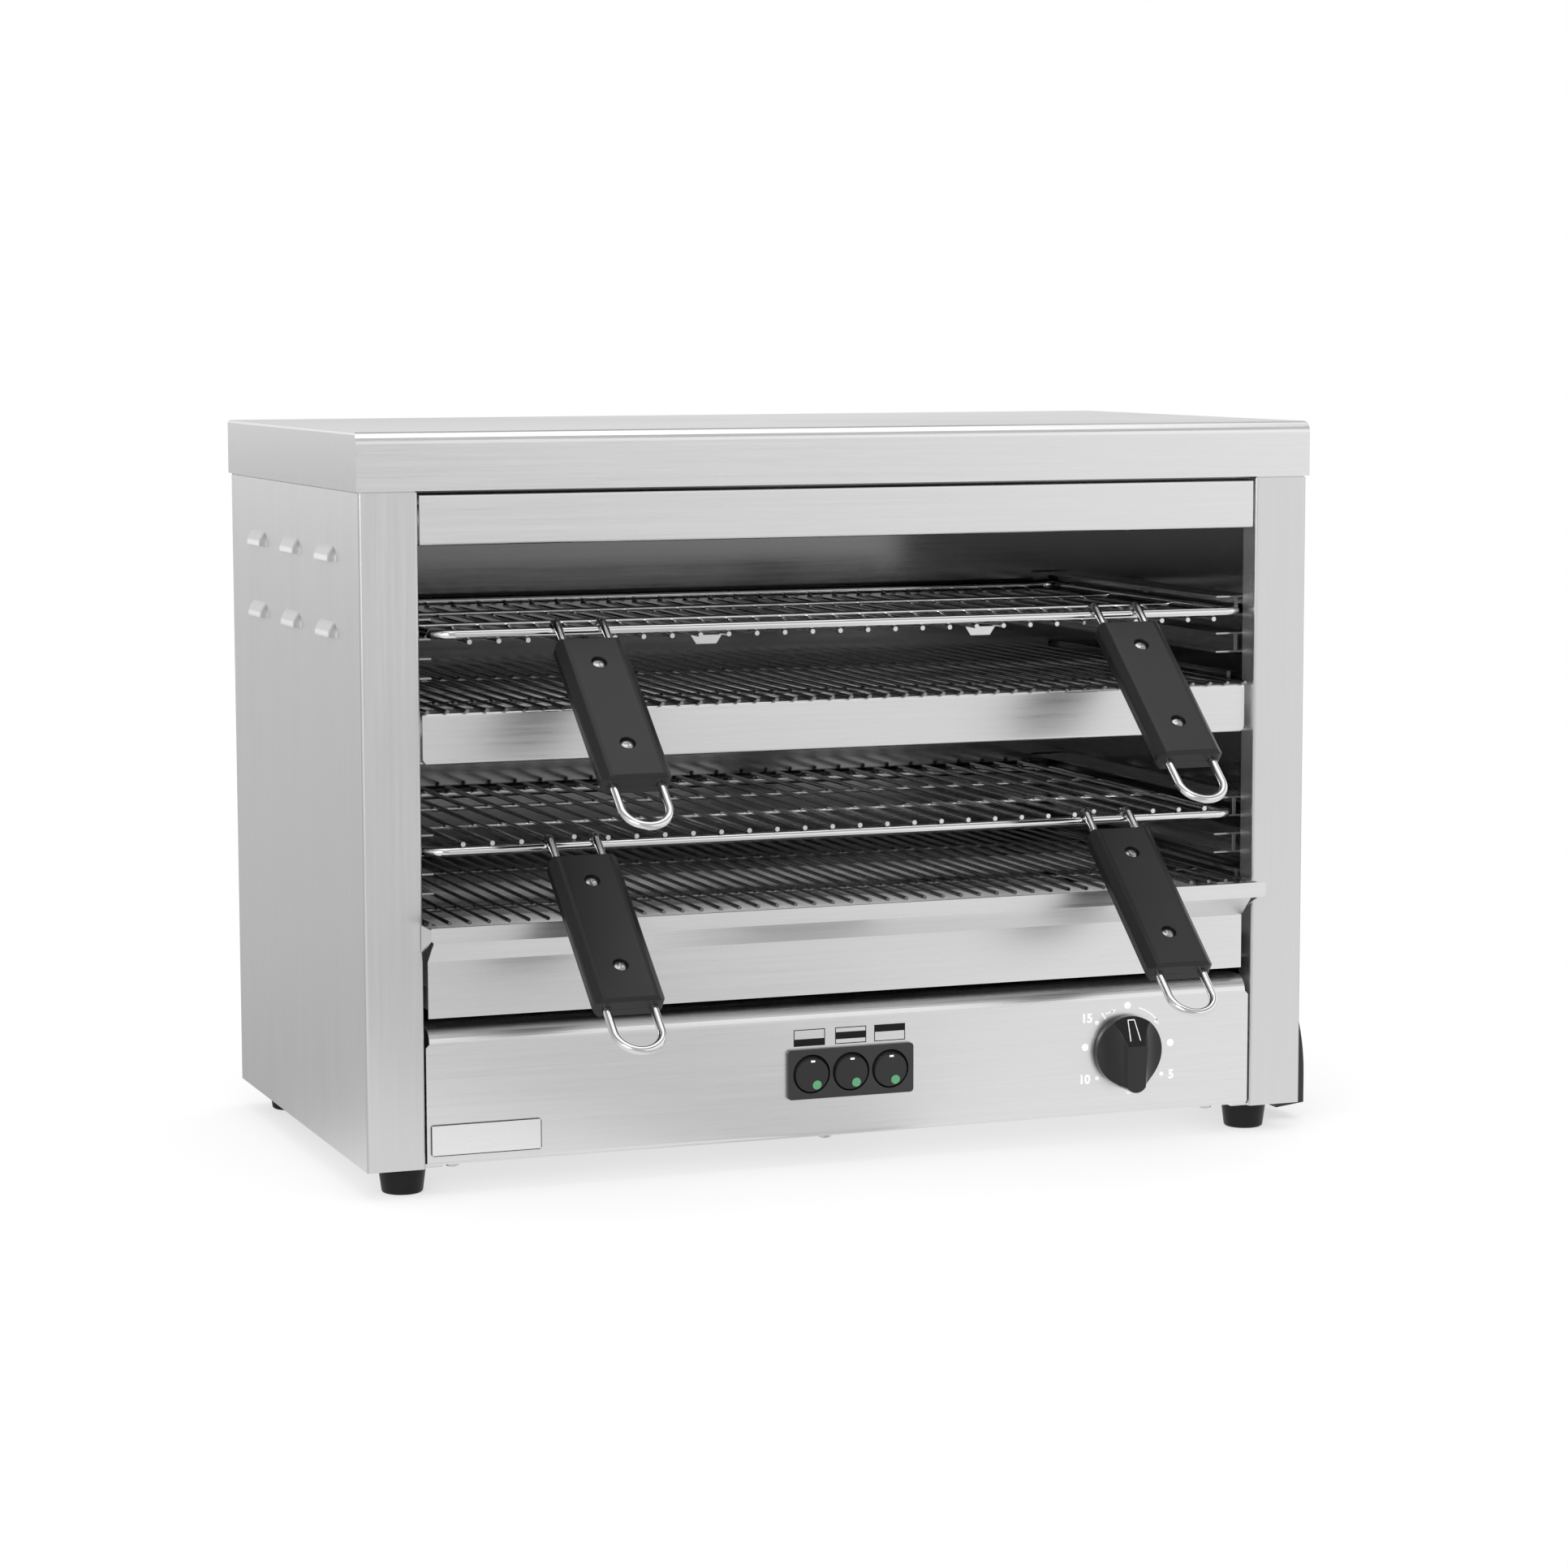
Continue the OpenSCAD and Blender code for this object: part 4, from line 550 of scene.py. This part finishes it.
def numeral(text, x, z):
    """A printed number outside the dial's dots."""
    curve = bpy.data.curves.new(f"numeral_{text}_curve", "FONT")
    curve.body = text
    curve.size = NUMERAL_H / DIGIT_SHARE * MM
    curve.align_x = "CENTER"
    curve.align_y = "CENTER"
    curve.extrude = INK_T / 2
    curve.offset = NUMERAL_BOLD
    holder = bpy.data.objects.new(f"numeral_{text}_holder", curve)
    scene.collection.objects.link(holder)
    bpy.context.view_layer.update()
    evaluated = holder.evaluated_get(bpy.context.evaluated_depsgraph_get())
    mesh = bpy.data.meshes.new_from_object(evaluated)
    bpy.data.objects.remove(holder)
    face = Matrix.Rotation(math.radians(90), 4, "X")
    mesh.transform(Matrix.Translation((x * MM, INK_SUNK - INK_T / 2, z * MM)) @ face)
    mesh.transform(dial_at)
    mesh.materials.clear()
    mesh.materials.append(white_print_and_highlight)
    piece = bpy.data.objects.new(f"numeral_{text}", mesh)
    scene.collection.objects.link(piece)
    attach(piece, "cabinet")


numeral("5", 26.8, -15.2)
numeral("10", -24.7, -14.8)
numeral("15", -23.5, 18.5)

# A painted highlight in white along the edges of the sloping end of the knob's bar: its slope, and how far up and
# in its middle lies.
POINTER_TILT = math.radians(-29.8)
POINTER_UP, POINTER_IN = 12.05, 4.7
knob_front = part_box("timer_knob")[0].y
on_slope = Matrix.Translation((shaft.x, knob_front + POINTER_IN * MM, shaft.z + POINTER_UP * MM))
HIGHLIGHT_LINE = 0.5
# Painted highlight lines along both sides of the sloping end and across its top.
edge_highlights = [stroke([(side * 2.9, -6.0), (side * 1.9, 6.0)], HIGHLIGHT_LINE) for side in (-1, 1)]
edge_highlights.append(bar(-2.1, 5.8, 2.1, 6.4))
edge_highlights_at = on_slope @ Matrix.Rotation(POINTER_TILT, 4, "X")
print_piece("knob_edge_highlight", edge_highlights, edge_highlights_at, white_print_and_highlight, "timer_dial")

# The white marks at the tops of the rockers, on their tilted faces, which stand out this far from the pivot.
ROCKER_FACE = 4.5 * MM
for place in ("left", "middle", "right"):
    joint = next(j for j in frame["joints"] if j["name"] == f"{place}_switch_rock")
    pivot = Vector(joint["pos_m"])
    tilt = Matrix.Rotation(math.radians(joint["range_deg"][1] / 2), 4, "X")
    face = Matrix.Translation(pivot) @ tilt @ Matrix.Translation((0, -ROCKER_FACE, 0))
    mark = [bar(-1.15, 7.2, 1.15, 8.2)]
    print_piece(f"{place}_rocker_mark", mark, face, white_print_and_highlight, f"{place}_switch")


# ---------------------------------------------------------------- studio

# How bright metal mirrors the studio, where 1 is white: SIDE_LEVEL, which is above white, except within the front
# cone, and then dimmed towards the rear, the left and the ceiling. Only glossy rays see this.
# The cones are given by the cosines at which they start and are full.
FRONT_LEVEL, SIDE_LEVEL = 0.38, 1.25
FRONT_SIDE, FRONT_START, FRONT_FULL = Vector((-0.05, -1.0, 0.0)).normalized(), 0.88, 0.975
DIMMED = (  # side, start, full, share of the level that is left
    (Vector((0.35, 0.93, 0.1)).normalized(), 0.75, 0.97, 0.66),
    (Vector((-0.95, 0.3, 0.0)).normalized(), 0.62, 0.92, 0.5),
    (Vector((0, 0, 1)), 0.3, 0.75, 0.3),
)


def towards(tree, direction, side, start, end, low, high):
    """low to high as a direction turns towards a side."""
    dot = tree.nodes.new("ShaderNodeVectorMath")
    dot.operation = "DOT_PRODUCT"
    dot.inputs[1].default_value = side
    tree.links.new(direction, dot.inputs[0])
    return map_node(tree, dot.outputs["Value"], low, high, start, end, "SMOOTHSTEP")


def studio_level(tree, direction):
    """How bright metal mirrors the studio in a direction."""
    level = towards(tree, direction, FRONT_SIDE, FRONT_START, FRONT_FULL, SIDE_LEVEL, FRONT_LEVEL)
    for side, start, full, left in DIMMED:
        level = math_node(tree, "MULTIPLY", level, towards(tree, direction, side, start, full, 1.0, left))
    return level


FLOOR_HALF = 14.0
FLOOR_GREY, FLOOR_ROUGH, FLOOR_SPECULAR = 0.93, 0.9, 0.1
# How much white the camera sees over the floor: from the first share to all of it between these distances.
WHITE_NEAR, WHITE_START, WHITE_FULL = 0.6, 0.3, 0.8
# The floor as metal mirrors it: a share of the studio's level over a base, and dimmer behind the oven.
MIRROR_SHARE, MIRROR_BASE, MIRROR_BEHIND = 0.33, 0.54, 0.56


def floor():
    """A pale floor that stays white to the camera, and keeps the oven's soft shadow."""
    z = cad_box[0].z
    corners = [(x * FLOOR_HALF, y * FLOOR_HALF, z) for x, y in ((-1, -1), (1, -1), (1, 1), (-1, 1))]
    mesh = bpy.data.meshes.new("studio_floor")
    mesh.from_pydata(corners, [], [(0, 1, 2, 3)])
    material = bpy.data.materials.new("studio_floor_look")
    material.use_nodes = True
    tree = material.node_tree
    link = tree.links.new
    bsdf = tree.nodes["Principled BSDF"]
    bsdf.inputs["Base Color"].default_value = (*grey(FLOOR_GREY), 1.0)
    bsdf.inputs["Roughness"].default_value = FLOOR_ROUGH
    bsdf.inputs["Specular IOR Level"].default_value = FLOOR_SPECULAR
    rays = tree.nodes.new("ShaderNodeLightPath")
    place = tree.nodes.new("ShaderNodeTexCoord").outputs["Object"]
    # White away from the oven, so that no horizon shows behind it.
    white = tree.nodes.new("ShaderNodeEmission")
    far = tree.nodes.new("ShaderNodeVectorMath")
    far.operation = "LENGTH"
    link(place, far.inputs[0])
    reach = map_node(tree, far.outputs["Value"], WHITE_NEAR, 1.0, WHITE_START, WHITE_FULL, "SMOOTHSTEP")
    seen = tree.nodes.new("ShaderNodeMixShader")
    link(math_node(tree, "MULTIPLY", reach, rays.outputs["Is Camera Ray"]), seen.inputs["Fac"])
    link(bsdf.outputs["BSDF"], seen.inputs[1])
    link(white.outputs["Emission"], seen.inputs[2])
    # Metal mirrors it at the studio's levels, softened.
    away = tree.nodes.new("ShaderNodeVectorMath")
    away.operation = "NORMALIZE"
    link(place, away.inputs[0])
    level = math_node(tree, "MULTIPLY", studio_level(tree, away.outputs["Vector"]), MIRROR_SHARE)
    level = math_node(tree, "ADD", level, MIRROR_BASE)
    behind = towards(tree, away.outputs["Vector"], Vector((0, 1, 0)), -0.2, 0.6, 1.0, MIRROR_BEHIND)
    mirrored = tree.nodes.new("ShaderNodeEmission")
    link(math_node(tree, "MULTIPLY", level, behind), mirrored.inputs["Strength"])
    mix = tree.nodes.new("ShaderNodeMixShader")
    link(rays.outputs["Is Glossy Ray"], mix.inputs["Fac"])
    link(seen.outputs["Shader"], mix.inputs[1])
    link(mirrored.outputs["Emission"], mix.inputs[2])
    link(mix.outputs["Shader"], tree.nodes["Material Output"].inputs["Surface"])
    mesh.materials.append(material)
    plane = bpy.data.objects.new("studio_floor", mesh)
    scene.collection.objects.link(plane)


def background(tree):
    """A white background of strength 1."""
    node = tree.nodes.new("ShaderNodeBackground")
    node.inputs["Color"].default_value = (1, 1, 1, 1)
    node.inputs["Strength"].default_value = 1.0
    return node


def world():
    """White to the camera, through glass and as light, and uneven as metal mirrors it."""
    w = bpy.data.worlds.new("studio")
    scene.world = w
    w.use_nodes = True
    tree = w.node_tree
    tree.nodes.clear()
    link = tree.links.new
    output = tree.nodes.new("ShaderNodeOutputWorld")
    rays = tree.nodes.new("ShaderNodeLightPath")
    white = background(tree)
    studio = background(tree)
    direction = tree.nodes.new("ShaderNodeTexCoord").outputs["Generated"]
    link(studio_level(tree, direction), studio.inputs["Strength"])
    glossy = tree.nodes.new("ShaderNodeMixShader")
    link(rays.outputs["Is Glossy Ray"], glossy.inputs["Fac"])
    link(white.outputs[0], glossy.inputs[1])
    link(studio.outputs[0], glossy.inputs[2])
    final = tree.nodes.new("ShaderNodeMixShader")
    seen = math_node(tree, "MAXIMUM", rays.outputs["Is Camera Ray"], rays.outputs["Is Transmission Ray"])
    link(seen, final.inputs["Fac"])
    link(glossy.outputs[0], final.inputs[1])
    link(white.outputs[0], final.inputs[2])
    link(final.outputs[0], output.inputs["Surface"])


# The point that the lamps are turned to, half way up the oven.
AIM = Vector((0, 0, 0.2))


def area_light(name, at, size, energy):
    """A softbox at a place, turned to the oven, with its power in watts."""
    data = bpy.data.lights.new(name, "AREA")
    data.shape = "RECTANGLE"
    data.size, data.size_y = size
    data.energy = energy
    lamp = bpy.data.objects.new(name, data)
    lamp.location = at
    lamp.rotation_euler = (AIM - Vector(at)).to_track_quat("-Z", "Y").to_euler()
    scene.collection.objects.link(lamp)
    return lamp


floor()
world()
area_light("top_softbox", (0.2, -0.3, 2.2), (2.4, 1.6), 14)
left_softbox = area_light("left_softbox", (-2.2, -0.6, 1.1), (1.4, 1.8), 5)
left_softbox.visible_glossy = False
area_light("front_softbox", (-1.5, -2.1, 0.9), (1.0, 0.7), 20)


# ---------------------------------------------------------------- camera

# The photograph's viewing angle, from a camera fit, in metres and degrees. The lens is for a 36 mm sensor.
CAMERA_AT = (-0.77715, -2.0488, 0.4425)
CAMERA_TURN = (83.497, 0.137, -20.476)
CAMERA_LENS = 93.17
CAMERA_SENSOR = 36.0
camera_data = bpy.data.cameras.new("camera")
camera_data.sensor_width = CAMERA_SENSOR
camera_data.lens = CAMERA_LENS
camera_data.clip_start, camera_data.clip_end = 0.05, 60.0
camera = bpy.data.objects.new("camera", camera_data)
camera.location = CAMERA_AT
camera.rotation_euler = [math.radians(angle) for angle in CAMERA_TURN]
scene.collection.objects.link(camera)
scene.camera = camera

scene.view_settings.view_transform = "Standard"
